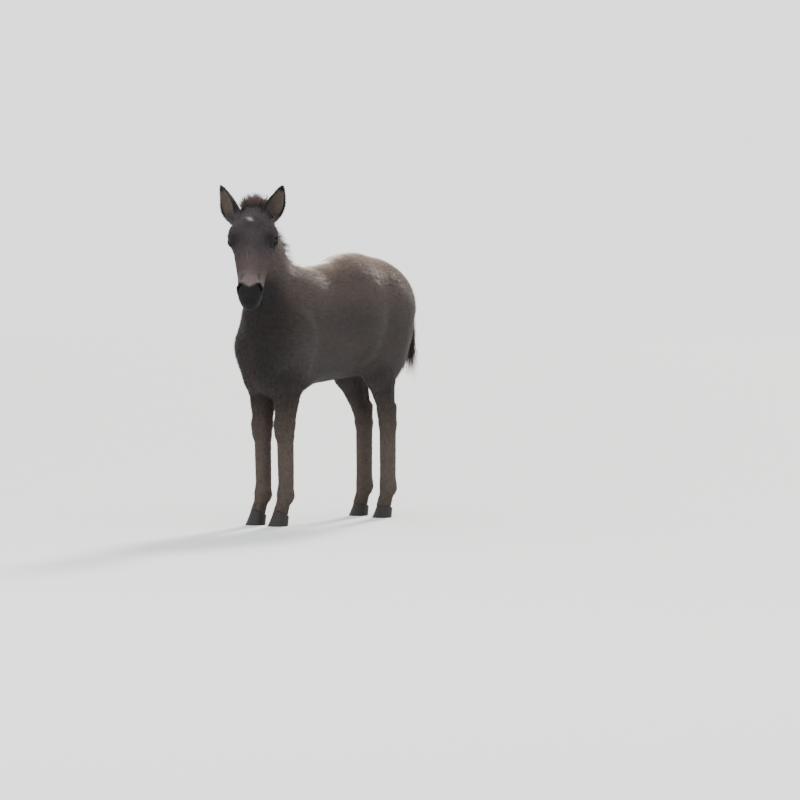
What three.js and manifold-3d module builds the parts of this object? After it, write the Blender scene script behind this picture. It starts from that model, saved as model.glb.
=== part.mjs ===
// A life-size Icelandic foal, standing square with its head turned to its left.
// The foal faces -Y, its left side is +X and +Z is up. All sizes are in millimetres.
// The origin is on the floor, under the middle of the model's box.
import * as THREE from "three";
import { mergeVertices } from "three/addons/utils/BufferGeometryUtils.js";
import Module from "manifold-3d";

const wasm = await Module();
wasm.setup();

// Driving sizes
const gap = 0.3; // between neighbouring solids
const weld = 0.02; // cut edges shorter than this close up
const originShift = [-34, 60, 0]; // from the anatomical frame to the middle of the box
const elbowCut = 505; // height at which a foreleg leaves the trunk
const stifleCut = 562; // height at which a hind leg leaves the trunk
const hairSeed = 20261; // for the scatter of the locks

const materials = {
  coat: new THREE.MeshStandardMaterial({ color: 0x5c5150, roughness: 0.85 }),
  legs: new THREE.MeshStandardMaterial({ color: 0x75665e, roughness: 0.85 }),
  mane: new THREE.MeshStandardMaterial({ color: 0x3a3033, roughness: 0.9 }),
  hoof: new THREE.MeshStandardMaterial({ color: 0x2c2826, roughness: 0.55 }),
  eye: new THREE.MeshStandardMaterial({ color: 0x14100e, roughness: 0.08 }),
};

// The head's own frame: v to its left, w out of the face, u down the face from the poll.
const degrees = Math.PI / 180;
const headTurn = 37 * degrees;
const headPitch = 61 * degrees;
const poll = new THREE.Vector3(100, -528, 1268);
const facing = new THREE.Vector3(Math.sin(headTurn), -Math.cos(headTurn), 0);
const headLeft = new THREE.Vector3(Math.cos(headTurn), Math.sin(headTurn), 0);
const up = new THREE.Vector3(0, 0, 1);
const downFace = facing.clone().multiplyScalar(Math.cos(headPitch)).addScaledVector(up, -Math.sin(headPitch));
const outFace = facing.clone().multiplyScalar(Math.sin(headPitch)).addScaledVector(up, Math.cos(headPitch));

function fromHead(v, w, u) {
  return poll.clone().addScaledVector(headLeft, v).addScaledVector(outFace, w).addScaledVector(downFace, u);
}

function toHead(x, y, z) {
  const p = new THREE.Vector3(x, y, z).sub(poll);
  return [p.dot(headLeft), p.dot(outFace), p.dot(downFace)];
}

// A mass of flesh is a tapered capsule: its two ends, their radii, how far it is flattened
// sideways, and how softly it melts into the masses listed before it.
function mass(from, to, startRadius, endRadius, flat, blend) {
  const a = [from[0] / flat, from[1], from[2]];
  const b = [to[0] / flat, to[1], to[2]];
  const along = [b[0] - a[0], b[1] - a[1], b[2] - a[2]];
  const length2 = along[0] ** 2 + along[1] ** 2 + along[2] ** 2 || 1;
  return { a, along, length2, startRadius, growth: endRadius - startRadius, flat, blend };
}

const trunk = [
  mass([0, -215, 778], [0, 130, 818], 234, 238, 0.6, 0), // ribs and belly
  mass([0, 180, 888], [0, 288, 886], 204, 194, 0.68, 90), // loins and croup
  mass([0, -190, 925], [0, -40, 940], 82, 78, 0.6, 70), // withers
  mass([0, -350, 625], [0, -180, 605], 92, 70, 0.85, 60), // brisket
  mass([0, -258, 868], [6, -335, 980], 150, 114, 0.54, 70), // root of the neck
  mass([6, -335, 980], [25, -385, 1085], 120, 90, 0.54, 40),
  mass([25, -385, 1085], [60, -462, 1172], 90, 76, 0.64, 40), // throat
];

// Paired masses of one side, at x over zero; shifts move each foot along the body.
function limbs(foreShift, hindShift) {
  const f = foreShift;
  const h = hindShift;
  return [
    mass([60, -165, 925], [84, -332, 715], 80, 80, 0.44, 60), // shoulder blade
    mass([86, -300, 705], [84, -225, 602], 86, 58, 0.46, 40), // triceps to elbow
    mass([38, -355, 705], [36, -342, 590], 76, 64, 0.85, 50), // breast
    mass([66, -290, 570], [58, -296 + f / 2, 405], 70, 45, 0.84, 45), // forearm
    mass([57, -299 + f, 402], [57, -299 + f, 374], 47, 44, 0.98, 14), // knee
    mass([57, -298 + f, 355], [57, -293 + f, 165], 35, 33, 0.94, 18), // cannon
    mass([57, -276 + f, 350], [57, -274 + f, 168], 24, 23, 0.94, 18), // tendons
    mass([57, -292 + f, 130], [57, -290 + f, 122], 39, 38, 0.96, 16), // fetlock
    mass([57, -266 + f, 116], [57, -258 + f, 92], 19, 10, 1, 16), // fetlock hair
    mass([57, -300 + f, 104], [57, -322 + f, 52], 30, 33, 1, 16), // pastern
    mass([46, 350, 862], [68, 312, 705], 150, 116, 0.62, 70), // haunch
    mass([84, 215, 655], [84, 240, 600], 76, 66, 0.58, 55), // stifle
    mass([60, 372, 765], [74, 320, 620], 84, 60, 0.6, 50), // back of the thigh
    mass([82, 262, 600], [77, 300 + h / 2, 470], 74, 42, 0.74, 30), // gaskin
    mass([78, 330 + h / 2, 560], [76, 344 + h, 460], 28, 19, 0.9, 20), // hamstring
    mass([75, 318 + h, 434], [75, 324 + h, 398], 50, 46, 0.76, 20), // hock
    mass([75, 352 + h, 455], [75, 346 + h, 425], 23, 21, 0.85, 14), // point of the hock
    mass([74, 322 + h, 385], [74, 322 + h, 168], 37, 35, 0.92, 18), // hind cannon
    mass([74, 344 + h, 380], [74, 344 + h, 170], 24, 23, 0.94, 18), // hind tendons
    mass([74, 328 + h, 134], [74, 330 + h, 124], 40, 39, 0.96, 16), // hind fetlock
    mass([74, 356 + h, 118], [74, 364 + h, 94], 19, 10, 1, 16), // hind fetlock hair
    mass([74, 322 + h, 106], [74, 300 + h, 52], 31, 33, 1, 16), // hind pastern
  ];
}
const footShift = { left: [0, 0], right: [-8, 24] };
const leftLimbs = limbs(...footShift.left);
const rightLimbs = limbs(...footShift.right);

// Masses of the head in its own frame [v, w, u]; the paired ones are mirrored in v.
const skull = [
  mass([0, -62, 40], [0, -56, 92], 60, 62, 1.4, 30), // braincase
  mass([0, -50, 4], [0, -54, 26], 36, 36, 1.5, 24), // base of the forelock
  mass([0, -46, 80], [0, -46, 130], 50, 50, 1.25, 30), // forehead
  mass([0, -41, 120], [0, -44, 350], 45, 33, 1, 30), // bridge of the nose
  mass([0, -108, 225], [0, -88, 370], 32, 23, 0.95, 30), // front of the lower jaw
  mass([0, -84, 386], [0, -86, 392], 22, 21, 1.15, 16), // chin
  mass([0, -50, 338], [0, -53, 384], 42, 38, 1.08, 28), // muzzle
  mass([0, -47, 398], [0, -58, 404], 27, 23, 1.25, 16), // upper lip
];
const skullPairs = [
  mass([66, -46, 98], [68, -42, 122], 31, 28, 1, 22), // brow
  mass([44, -72, 130], [24, -68, 300], 40, 30, 0.95, 28), // cheekbone
  mass([42, -108, 104], [24, -110, 232], 56, 34, 0.62, 34), // jowl
  mass([27, -36, 356], [25, -44, 376], 21, 19, 1, 14), // nostril wing
];
const nostril = mass([40, -20, 346], [32, -27, 372], 6, 10, 0.8, 10);

function distance(m, x, y, z) {
  const px = x / m.flat - m.a[0];
  const py = y - m.a[1];
  const pz = z - m.a[2];
  const dot = px * m.along[0] + py * m.along[1] + pz * m.along[2];
  const t = Math.min(1, Math.max(0, dot / m.length2));
  const qx = px - t * m.along[0];
  const qy = py - t * m.along[1];
  const qz = pz - t * m.along[2];
  const length = Math.hypot(qx, qy, qz) + 1e-6;
  const slope = Math.hypot(qx / m.flat, qy, qz) / length + 1e-9;
  return (length - m.startRadius - m.growth * t) / slope;
}

function melt(a, b, softness) {
  if (softness <= 0) return Math.min(a, b);
  const h = Math.max(softness - Math.abs(a - b), 0) / softness;
  return Math.min(a, b) - (h * h * softness) / 4;
}

const far = 1e4;
const throatBlend = 30; // how softly the head melts into the neck

function headField(x, y, z) {
  const [v, w, u] = toHead(x, y, z);
  if (Math.abs(v) > 260 || Math.abs(w + 60) > 260 || Math.abs(u - 200) > 400) return far;
  let d = far;
  for (const m of skull) d = melt(d, distance(m, v, w, u), m.blend);
  for (const m of skullPairs) d = melt(d, distance(m, Math.abs(v), w, u), m.blend);
  return -melt(-d, distance(nostril, Math.abs(v), w, u), nostril.blend);
}

// Under zero inside the foal, over zero outside, in the anatomical frame.
function foalField(x, y, z) {
  let d = far;
  for (const m of trunk) d = melt(d, distance(m, x, y, z), m.blend);
  let left = d;
  let right = d;
  for (const m of leftLimbs) left = melt(left, distance(m, x, y, z), m.blend);
  for (const m of rightLimbs) right = melt(right, distance(m, -x, y, z), m.blend);
  return melt(Math.min(left, right), headField(x, y, z), throatBlend);
}

function gradient(field, p) {
  const step = 0.5;
  const d = field(...p);
  return [
    d,
    (field(p[0] + step, p[1], p[2]) - d) / step,
    (field(p[0], p[1] + step, p[2]) - d) / step,
    (field(p[0], p[1], p[2] + step) - d) / step,
  ];
}

// A closed mesh of the field's zero level inside a box, with one point in each crossed cell.
function polygonize(field, low, high, cell) {
  const n = [0, 1, 2].map((i) => Math.ceil((high[i] - low[i]) / cell[i]) + 1);
  const at = (i, j, k) => [low[0] + i * cell[0], low[1] + j * cell[1], low[2] + k * cell[2]];
  const index = (i, j, k) => (k * n[1] + j) * n[0] + i;
  const values = new Float64Array(n[0] * n[1] * n[2]);
  for (let k = 0; k < n[2]; k++)
    for (let j = 0; j < n[1]; j++)
      for (let i = 0; i < n[0]; i++) {
        const edge = !i || !j || !k || i === n[0] - 1 || j === n[1] - 1 || k === n[2] - 1;
        const value = field(...at(i, j, k));
        values[index(i, j, k)] = edge ? Math.max(value, 1) : value || 1e-6;
      }
  const points = [];
  const pointOf = new Map();
  for (let k = 0; k < n[2] - 1; k++)
    for (let j = 0; j < n[1] - 1; j++)
      for (let i = 0; i < n[0] - 1; i++) {
        const corners = [0, 1, 2, 3, 4, 5, 6, 7].map((c) => [i + (c & 1), j + ((c >> 1) & 1), k + (c >> 2)]);
        const sum = [0, 0, 0, 0];
        for (let c = 0; c < 8; c++)
          for (const bit of [1, 2, 4]) {
            if (c & bit) continue;
            const a = values[index(...corners[c])];
            const b = values[index(...corners[c | bit])];
            if (a < 0 === b < 0) continue;
            const t = a / (a - b);
            const p = at(...corners[c]);
            const q = at(...corners[c | bit]);
            for (let s = 0; s < 3; s++) sum[s] += p[s] + t * (q[s] - p[s]);
            sum[3]++;
          }
        if (!sum[3]) continue;
        const p = [0, 1, 2].map((s) => sum[s] / sum[3]);
        const inner = p.every((x, s) => x > low[s] + cell[s] * 1.2 && x < high[s] - cell[s] * 1.2);
        if (inner) {
          const [d, gx, gy, gz] = gradient(field, p);
          const steep = Math.max(gx * gx + gy * gy + gz * gz, 0.25);
          const pull = Math.max(-0.4, Math.min(0.4, d / steep / Math.min(...cell))) * Math.min(...cell);
          [gx, gy, gz].forEach((g, s) => (p[s] -= pull * g));
        }
        pointOf.set(index(i, j, k), points.length / 3);
        points.push(...p);
      }
  const faces = [];
  const steps = [[1, 0, 0], [0, 1, 0], [0, 0, 1]];
  for (let k = 0; k < n[2] - 1; k++)
    for (let j = 0; j < n[1] - 1; j++)
      for (let i = 0; i < n[0] - 1; i++)
        steps.forEach((step, axis) => {
          const a = values[index(i, j, k)];
          const b = values[index(i + step[0], j + step[1], k + step[2])];
          if (a < 0 === b < 0) return;
          const e = steps[(axis + 1) % 3];
          const f = steps[(axis + 2) % 3];
          const around = [[1, 1], [0, 1], [0, 0], [1, 0]].map(([s, t]) =>
            pointOf.get(index(i - s * e[0] - t * f[0], j - s * e[1] - t * f[1], k - s * e[2] - t * f[2])),
          );
          const [p, q, r, s] = a < 0 ? around : around.reverse();
          const gapOf = (m, o) => Math.hypot(...[0, 1, 2].map((c) => points[m * 3 + c] - points[o * 3 + c]));
          if (gapOf(p, r) < gapOf(q, s)) faces.push(p, q, r, p, r, s);
          else faces.push(q, r, s, q, s, p);
        });
  return geometryOf(points, faces);
}

function geometryOf(points, faces) {
  const geometry = new THREE.BufferGeometry();
  geometry.setAttribute("position", new THREE.BufferAttribute(new Float32Array(points), 3));
  geometry.setIndex(faces);
  return geometry;
}

function solidOf(geometry) {
  const bare = geometry.clone();
  for (const name of Object.keys(bare.attributes)) if (name !== "position") bare.deleteAttribute(name);
  const merged = mergeVertices(bare, 1e-3);
  const vertProperties = merged.attributes.position.array;
  const triVerts = new Uint32Array(merged.index.array);
  const made = new wasm.Manifold(new wasm.Mesh({ numProp: 3, vertProperties, triVerts }));
  if (made.volume() > 0) return made;
  for (let i = 0; i < triVerts.length; i += 3) [triVerts[i + 1], triVerts[i + 2]] = [triVerts[i + 2], triVerts[i + 1]];
  return new wasm.Manifold(new wasm.Mesh({ numProp: 3, vertProperties, triVerts }));
}

// Whether two sheets of a mesh meet along one edge.
function pinched(geometry) {
  const corners = geometry.index.array;
  const seen = new Set();
  for (let i = 0; i < corners.length; i += 3)
    for (let s = 0; s < 3; s++) {
      const edge = `${corners[i + s]},${corners[i + ((s + 1) % 3)]}`;
      if (seen.has(edge)) return true;
      seen.add(edge);
    }
  return false;
}

// The flesh inside a box as a solid. Where a cell pinches the surface, the grid is moved a little.
function flesh(low, high, cell, field = foalField) {
  const tries = 12;
  let mesh;
  for (let i = 0; i < tries; i++) {
    const moved = low.map((x, axis) => x - i * 0.137 * cell[axis]);
    mesh = polygonize(field, moved, high, cell);
    if (!pinched(mesh)) break;
  }
  return solidOf(mesh);
}

// The foal's field grown outward, to keep coarse grids clear of the real surface.
const tailClear = 2.2;
const earClear = 1.2;
function grown(by) {
  return (x, y, z) => foalField(x, y, z) - by;
}

function block(low, high) {
  const size = [0, 1, 2].map((i) => high[i] - low[i]);
  const box = new THREE.BoxGeometry(...size);
  box.translate(...[0, 1, 2].map((i) => (high[i] + low[i]) / 2));
  return solidOf(box);
}

// All the space on the side of a plane that its normal points to.
function beyond(point, normal, offset = 0) {
  const size = 4000;
  const box = new THREE.BoxGeometry(size, size, size);
  box.translate(0, 0, size / 2 + offset);
  box.applyQuaternion(new THREE.Quaternion().setFromUnitVectors(up, normal.clone().normalize()));
  box.translate(...point.toArray());
  return solidOf(box);
}

function largest(solid) {
  return solid.decompose().sort((a, b) => b.volume() - a.volume())[0];
}

// One body from several closed solids.
function joined(solids) {
  return largest(wasm.Manifold.union(solids));
}

// Where the surface lies on a straight way out of the flesh.
function surfaceFrom(start, way, field = foalField) {
  const p = start.clone();
  for (let i = 0; i < 400 && field(p.x, p.y, p.z) < 0; i++) p.addScaledVector(way, 2);
  for (let i = 0; i < 6; i++) p.addScaledVector(way, -field(p.x, p.y, p.z) * 0.8);
  return p;
}

function normalAt(p, field = foalField) {
  const [, x, y, z] = gradient(field, p.toArray());
  return new THREE.Vector3(x, y, z).normalize();
}

let seed = hairSeed;
function random(low = 0, high = 1) {
  seed = (seed * 1664525 + 1013904223) % 4294967296;
  return low + ((high - low) * seed) / 4294967296;
}

// A flat, tapered lock of hair that leaves its root along a way and bends over.
const lockThickness = 0.36; // of its width
function lock(root, way, bend, facingOut, length, width, rings = 4) {
  const points = [];
  const faces = [];
  for (let i = 0; i < rings; i++) {
    const t = i / rings;
    const centre = root.clone().addScaledVector(way, length * t).addScaledVector(bend, length * t * t);
    const tangent = way.clone().addScaledVector(bend, 2 * t).normalize();
    const side = tangent.clone().cross(facingOut).normalize();
    const front = side.clone().cross(tangent).normalize();
    const half = (width / 2) * (1 - 0.75 * t * t);
    for (const [s, f] of [[1, 0], [0, 1], [-1, 0], [0, -1]])
    {
      const corner = centre.clone().addScaledVector(side, s * half);
      points.push(...corner.addScaledVector(front, f * half * lockThickness).toArray());
    }
  }
  points.push(...root.clone().addScaledVector(way, length).addScaledVector(bend, length).toArray());
  const tip = rings * 4;
  faces.push(0, 2, 1, 0, 3, 2);
  for (let i = 0; i < rings; i++)
    for (let s = 0; s < 4; s++) {
      const a = i * 4 + s;
      const b = i * 4 + ((s + 1) % 4);
      if (i === rings - 1) faces.push(a, b, tip);
      else faces.push(a, b, b + 4, a, b + 4, a + 4);
    }
  return solidOf(geometryOf(points, faces));
}

// A round bar along a curve, for lids and the line of the mouth.
function bar(points, radius, sides = 6, steps = 10) {
  const curve = new THREE.CatmullRomCurve3(points);
  const outline = new THREE.Shape();
  for (let i = 0; i < sides; i++) {
    const angle = (i / sides) * 2 * Math.PI;
    if (i) outline.lineTo(Math.cos(angle) * radius, Math.sin(angle) * radius);
    else outline.moveTo(radius, 0);
  }
  outline.closePath();
  return solidOf(new THREE.ExtrudeGeometry(outline, { steps, extrudePath: curve, bevelEnabled: false }));
}

const foal = new THREE.Group();

function add(name, solid, material) {
  const { vertProperties, triVerts, numProp } = solid.getMesh();
  const points = [];
  for (let i = 0; i < vertProperties.length; i += numProp)
    points.push(vertProperties[i], vertProperties[i + 1], vertProperties[i + 2]);
  const welded = mergeVertices(geometryOf(points, Array.from(triVerts)), weld);
  const faces = [];
  const corners = welded.index.array;
  for (let i = 0; i < corners.length; i += 3) {
    const [a, b, c] = corners.slice(i, i + 3);
    if (a !== b && b !== c && c !== a) faces.push(a, b, c);
  }
  welded.setIndex(faces);
  const mesh = new THREE.Mesh(welded, material);
  mesh.name = name;
  mesh.position.set(...originShift);
  foal.add(mesh);
}

// Where the nodes part
const neckRoot = new THREE.Vector3(0, -150, 1010);
const neckWay = new THREE.Vector3(0, -0.618, 0.786);
const pollCut = fromHead(0, -30, -15);
const pollWay = outFace.clone().multiplyScalar(0.42).addScaledVector(downFace, 0.907);
const jawClear = fromHead(0, -186, 100); // the jaw lies in front of this, the neck behind
const headSpace = beyond(pollCut, pollWay).intersect(beyond(jawClear, outFace));
const headSpaceGrown = beyond(pollCut, pollWay, -gap).intersect(beyond(jawClear, outFace, -gap));

// Trunk
function makeTorso() {
  const rough = flesh([-230, -520, 470], [230, 600, 1150], [38, 42, 38]);
  const cuts = [
    beyond(neckRoot, neckWay),
    block([-400, -800, 0], [400, 0, elbowCut]),
    block([-400, 60, 0], [400, 800, stifleCut]),
  ];
  return largest(cuts.reduce((solid, cut) => solid.subtract(cut), rough));
}

// Neck with its mane of short, upright locks
const maneLocks = 32;
function maneRoot(t, aside) {
  const base = new THREE.Vector3(0, -165, 930);
  const middle = new THREE.Vector3(12, -330, 1030);
  const top = new THREE.Vector3(52, -440, 1150);
  const inside = new THREE.QuadraticBezierCurve3(base, middle, top).getPoint(t);
  const way = new THREE.Vector3(aside, 0.72 - 0.2 * t, 0.7 + 0.2 * t).normalize();
  return [surfaceFrom(inside, way), way];
}

function makeNeck() {
  const rough = flesh([-170, -620, 740], [190, -60, 1330], [28, 28, 28]);
  const bare = largest(rough.intersect(beyond(neckRoot, neckWay, gap)).subtract(headSpaceGrown));
  const locks = [];
  for (let i = 0; i < maneLocks; i++) {
    const t = 0.06 + (0.9 * (i + random(-0.3, 0.3))) / maneLocks;
    const aside = ((i % 3) - 1) * 0.2 + random(-0.05, 0.05);
    const [root, way] = maneRoot(t, aside);
    const normal = normalAt(root);
    const back = new THREE.Vector3(-0.15 + aside * 0.8, 0.76, -0.62);
    const stand = normal.clone().multiplyScalar(0.72).add(back.clone().multiplyScalar(0.7));
    const bend = back.clone().multiplyScalar(0.55).addScaledVector(normal, random(-0.52, -0.4));
    const length = random(54, 66) * (0.8 + 0.25 * Math.sin(Math.PI * t));
    const side = normal.clone().applyAxisAngle(back.clone().normalize(), random(-0.3, 0.3));
    locks.push(lock(root.addScaledVector(way, -15), stand, bend, side, length, random(27, 33)));
  }
  const whole = joined([bare, ...locks]).subtract(headSpaceGrown);
  return largest(whole.intersect(beyond(neckRoot, neckWay, gap)));
}

// Head: skull, lids, lips and forelock
const eyeRadius = 19;
const eyePlace = [75, -47, 136];
const eyeReach = 21; // from the middle of the eye to its corners
const lidSteps = 6;
const upperLid = { opening: 13, radius: 4.2 };
const lowerLid = { opening: -10, radius: 3.4 };

function eyeBall(side, radius) {
  const ball = new THREE.SphereGeometry(radius, 14, 8);
  ball.rotateX(Math.PI / 2);
  ball.translate(...fromHead(side * eyePlace[0], eyePlace[1], eyePlace[2]).toArray());
  return solidOf(ball);
}

function lid(side, { opening, radius }) {
  const points = [];
  for (let i = 0; i <= lidSteps; i++) {
    const angle = (Math.PI * i) / lidSteps;
    const along = -Math.cos(angle) * eyeReach;
    const open = Math.sin(angle) * opening;
    const v = eyePlace[0] + 13.5 + 3.5 * Math.sin(angle) - along * 0.28;
    const w = eyePlace[1] + open * 0.62 + along * 0.5;
    const u = eyePlace[2] + along * 0.86 - open * 0.75;
    points.push(fromHead(side * v, w, u));
  }
  return bar(points, radius);
}

const mouthCorner = 320; // how far down the face the mouth starts
const mouthFront = 411;
const mouthRadius = 3;
function mouthLine() {
  const steps = 4;
  const half = [];
  for (let i = 0; i <= steps; i++) {
    const t = i / steps;
    const turn = (t * Math.PI) / 2;
    const u = mouthCorner + (mouthFront - mouthCorner) * Math.sin(turn);
    const v = 47 * Math.cos(turn) + 6 * Math.sin(2 * turn) + 3 * (1 - Math.cos(turn));
    half.push([v, -77 + 5 * t, u]);
  }
  const mirrored = half.slice(0, -1).reverse().map(([v, w, u]) => [-v, w, u]);
  return bar([...half, ...mirrored].map((p) => fromHead(...p)), mouthRadius, 5, 22);
}

const headCell = [14.5, 14.5, 14.5];
function makeHead() {
  const low = [-60, -800, 800];
  const high = [300, -330, 1340];
  const pieces = [largest(flesh(low, high, headCell).intersect(headSpace))];
  for (const side of [-1, 1]) pieces.push(lid(side, upperLid), lid(side, lowerLid));
  const forelock = 21;
  for (let i = 0; i < forelock; i++) {
    const across = ((i % 7) - 3) * 15 + random(-4, 4);
    const back = Math.floor(i / 7) * 14;
    const inside = fromHead(across * 0.9, -66 - back * 0.3, 40 - back);
    const way = up.clone().addScaledVector(headLeft, across / 110).addScaledVector(facing, 0.3 - back / 90);
    way.normalize();
    const root = surfaceFrom(inside, way).addScaledVector(way, -16);
    const sway = across / 240 + random(-0.12, 0.12);
    const bend = headLeft.clone().multiplyScalar(sway).addScaledVector(facing, random(-0.05, 0.2));
    pieces.push(lock(root, way, bend, facing, random(60, 78), random(28, 34)));
  }
  const whole = joined(pieces);
  const cuts = [eyeBall(-1, eyeRadius + gap), eyeBall(1, eyeRadius + gap), mouthLine()];
  return largest(cuts.reduce((solid, cut) => solid.subtract(cut), whole).intersect(headSpace));
}

// Ear: a cup on a short stem, open towards a turned side
const earLength = 150;
function makeEar(side, openTurn) {
  const rings = 8;
  const arc = 7;
  const points = [];
  const faces = [];
  const axis = up.clone().multiplyScalar(0.9).addScaledVector(headLeft, side * 0.4).addScaledVector(facing, 0.04);
  axis.normalize();
  const open = facing.clone().multiplyScalar(Math.cos(openTurn));
  open.addScaledVector(headLeft, side * Math.sin(openTurn));
  open.addScaledVector(axis, -open.dot(axis)).normalize();
  const across = axis.clone().cross(open).normalize();
  const root = fromHead(side * 60 - 7, -40, 44);
  for (let i = 0; i <= rings; i++) {
    const t = i / rings;
    const half = 4 + 34 * Math.sin(Math.PI * (0.2 + 0.8 * t) ** 0.9) ** 0.8;
    const wrap = (150 - 70 * Math.min(1, t * 1.4)) * degrees;
    const wall = Math.max(4.5, 30 * (1 - t * 3.2));
    const bow = 7 * Math.sin(t * Math.PI) * side;
    const centre = root.clone().addScaledVector(axis, earLength * t).addScaledVector(headLeft, bow);
    const place = (radius, share) => {
      const angle = wrap * share;
      const p = centre.clone().addScaledVector(across, radius * Math.sin(angle));
      points.push(...p.addScaledVector(open, -radius * 0.82 * Math.cos(angle)).toArray());
    };
    for (let j = 0; j < arc; j++) place(half, (2 * j) / (arc - 1) - 1);
    const innerHalf = Math.max(half - wall, half * 0.12);
    for (let j = arc - 1; j >= 0; j--) place(innerHalf, 0.96 * ((2 * j) / (arc - 1) - 1));
  }
  const ring = arc * 2;
  for (let i = 0; i < rings; i++)
    for (let j = 0; j < ring; j++) {
      const a = i * ring + j;
      const b = i * ring + ((j + 1) % ring);
      faces.push(a, b, b + ring, a, b + ring, a + ring);
    }
  for (const [start, flip] of [[0, true], [rings * ring, false]])
    for (let j = 0; j < arc - 1; j++) {
      const a = start + j;
      const b = start + j + 1;
      const c = start + ring - 2 - j;
      const d = start + ring - 1 - j;
      if (flip) faces.push(a, c, b, a, d, c);
      else faces.push(a, b, c, a, c, d);
    }
  return solidOf(geometryOf(points, faces));
}

// Leg of one side, from its cut down to the hoof
const legCell = [18.5, 19.5, 30];
function makeLeg(low, high, top, hoofTop) {
  const rough = flesh(low, high, legCell);
  const far = 900;
  const above = block([-far, -far, top - gap], [far, far, 2 * far]);
  return largest(rough.subtract(above).intersect(hoofTop));
}

// Hoof: a wall that widens to a flat sole; the coronet slopes down to the heels
const hoof = { toe: 60, heel: 28, width: 40, length: 44, lean: 20 };
function coronet(place, offset) {
  const slope = (hoof.toe - hoof.heel) / (2 * hoof.length);
  const normal = new THREE.Vector3(0, slope, 1);
  return beyond(new THREE.Vector3(place[0], place[1], (hoof.toe + hoof.heel) / 2), normal, offset);
}

function makeHoof(place) {
  const sides = 16;
  const levels = [[0, 1, 0], [6, 0.985, 0.06], [64, 0.76, 1]];
  const points = [];
  const faces = [];
  for (const [z, size, leanShare] of levels)
    for (let i = 0; i < sides; i++) {
      const angle = (i / sides) * 2 * Math.PI;
      const back = Math.sin(angle);
      const y = back > 0 ? back * hoof.length * 0.8 : back * hoof.length;
      const x = Math.sign(Math.cos(angle)) * Math.abs(Math.cos(angle)) ** 0.85 * hoof.width;
      points.push(place[0] + x * size, place[1] - 8 + y * size + hoof.lean * leanShare, z);
    }
  const last = (levels.length - 1) * sides;
  for (let i = 0; i < last; i++) {
    const next = (i % sides === sides - 1 ? i + 1 - sides : i + 1);
    faces.push(i, next, next + sides, i, next + sides, i + sides);
  }
  for (let i = 1; i < sides - 1; i++) faces.push(0, i + 1, i, last, last + i, last + i + 1);
  return solidOf(geometryOf(points, faces)).subtract(coronet(place, -gap));
}

// Tail: a dock that leaves the croup, with hanging locks
const dock = new THREE.CatmullRomCurve3(
  [[0, 440, 968], [0, 486, 958], [4, 530, 905], [8, 542, 835], [12, 532, 770]].map((p) => new THREE.Vector3(...p)),
);
function makeTail() {
  const steps = 6;
  const sides = 7;
  const points = [];
  const faces = [];
  for (let i = 0; i <= steps; i++) {
    const t = i / steps;
    const centre = dock.getPoint(t);
    const tangent = dock.getTangent(t);
    const back = new THREE.Vector3(1, 0, 0).cross(tangent).normalize();
    const radius = 28 - 15 * t;
    for (let j = 0; j < sides; j++) {
      const angle = (j / sides) * 2 * Math.PI;
      const p = centre.clone().addScaledVector(back, radius * Math.sin(angle));
      points.push(p.x + radius * Math.cos(angle), p.y, p.z);
    }
  }
  for (let i = 0; i < steps * sides; i++) {
    const next = i % sides === sides - 1 ? i + 1 - sides : i + 1;
    faces.push(i, next, next + sides, i, next + sides, i + sides);
  }
  const end = steps * sides;
  for (let j = 1; j < sides - 1; j++) faces.push(0, j + 1, j, end, end + j, end + j + 1);
  const pieces = [solidOf(geometryOf(points, faces))];
  const locks = 21;
  for (let i = 0; i < locks; i++) {
    const t = 0.3 + (0.7 * i) / locks;
    const angle = i * 2.4;
    const centre = dock.getPoint(t);
    const out = new THREE.Vector3(Math.cos(angle), Math.max(0, Math.sin(angle)), 0).normalize();
    const root = centre.clone().addScaledVector(out, 7);
    const way = new THREE.Vector3(out.x * 0.28, out.y * 0.16, -1).normalize();
    const bend = new THREE.Vector3(-out.x * 0.14 + random(-0.06, 0.06), -0.16 - out.y * 0.1, random(-0.02, 0.02));
    const length = Math.min(random(160, 205), centre.z - 560);
    pieces.push(lock(root, way, bend, out, length, random(26, 34)));
  }
  const bodyGrown = flesh([-120, 380, 700], [120, 620, 1120], [16, 16, 16], grown(tailClear));
  return largest(joined(pieces).subtract(bodyGrown));
}

add("torso", makeTorso(), materials.coat);
add("neck", makeNeck(), materials.coat);
const head = makeHead();
add("head", head, materials.coat);

const headGrown = flesh([-40, -680, 1120], [280, -330, 1380], [9.5, 9.5, 9.5], grown(earClear));
const earTurns = { left: [1, 4 * degrees], right: [-1, 38 * degrees] };
for (const [name, [side, turn]] of Object.entries(earTurns)) {
  add(`ear_${name}`, largest(makeEar(side, turn).subtract(headGrown).subtract(head)), materials.coat);
  add(`eye_${name}`, eyeBall(side, eyeRadius), materials.eye);
}

for (const [name, side] of [["left", 1], ["right", -1]]) {
  const [fore, hind] = footShift[name];
  const spans = [
    ["fore", [57 * side, -328 + fore], [2, -400, 14], [160, -180, 560], elbowCut],
    ["hind", [74 * side, 298 + hind], [8, 120, 14], [190, 440, 620], stifleCut],
  ];
  for (const [which, place, low, high, top] of spans) {
    const box = side > 0 ? [low, high] : [[-high[0], low[1], low[2]], [-low[0], high[1], high[2]]];
    const leg = makeLeg(...box, top, coronet(place, 0));
    add(`${which}leg_${name}`, leg, materials.legs);
    add(`${which}hoof_${name}`, makeHoof(place), materials.hoof);
  }
}
add("tail", makeTail(), materials.mane);

export default foal;
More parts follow.
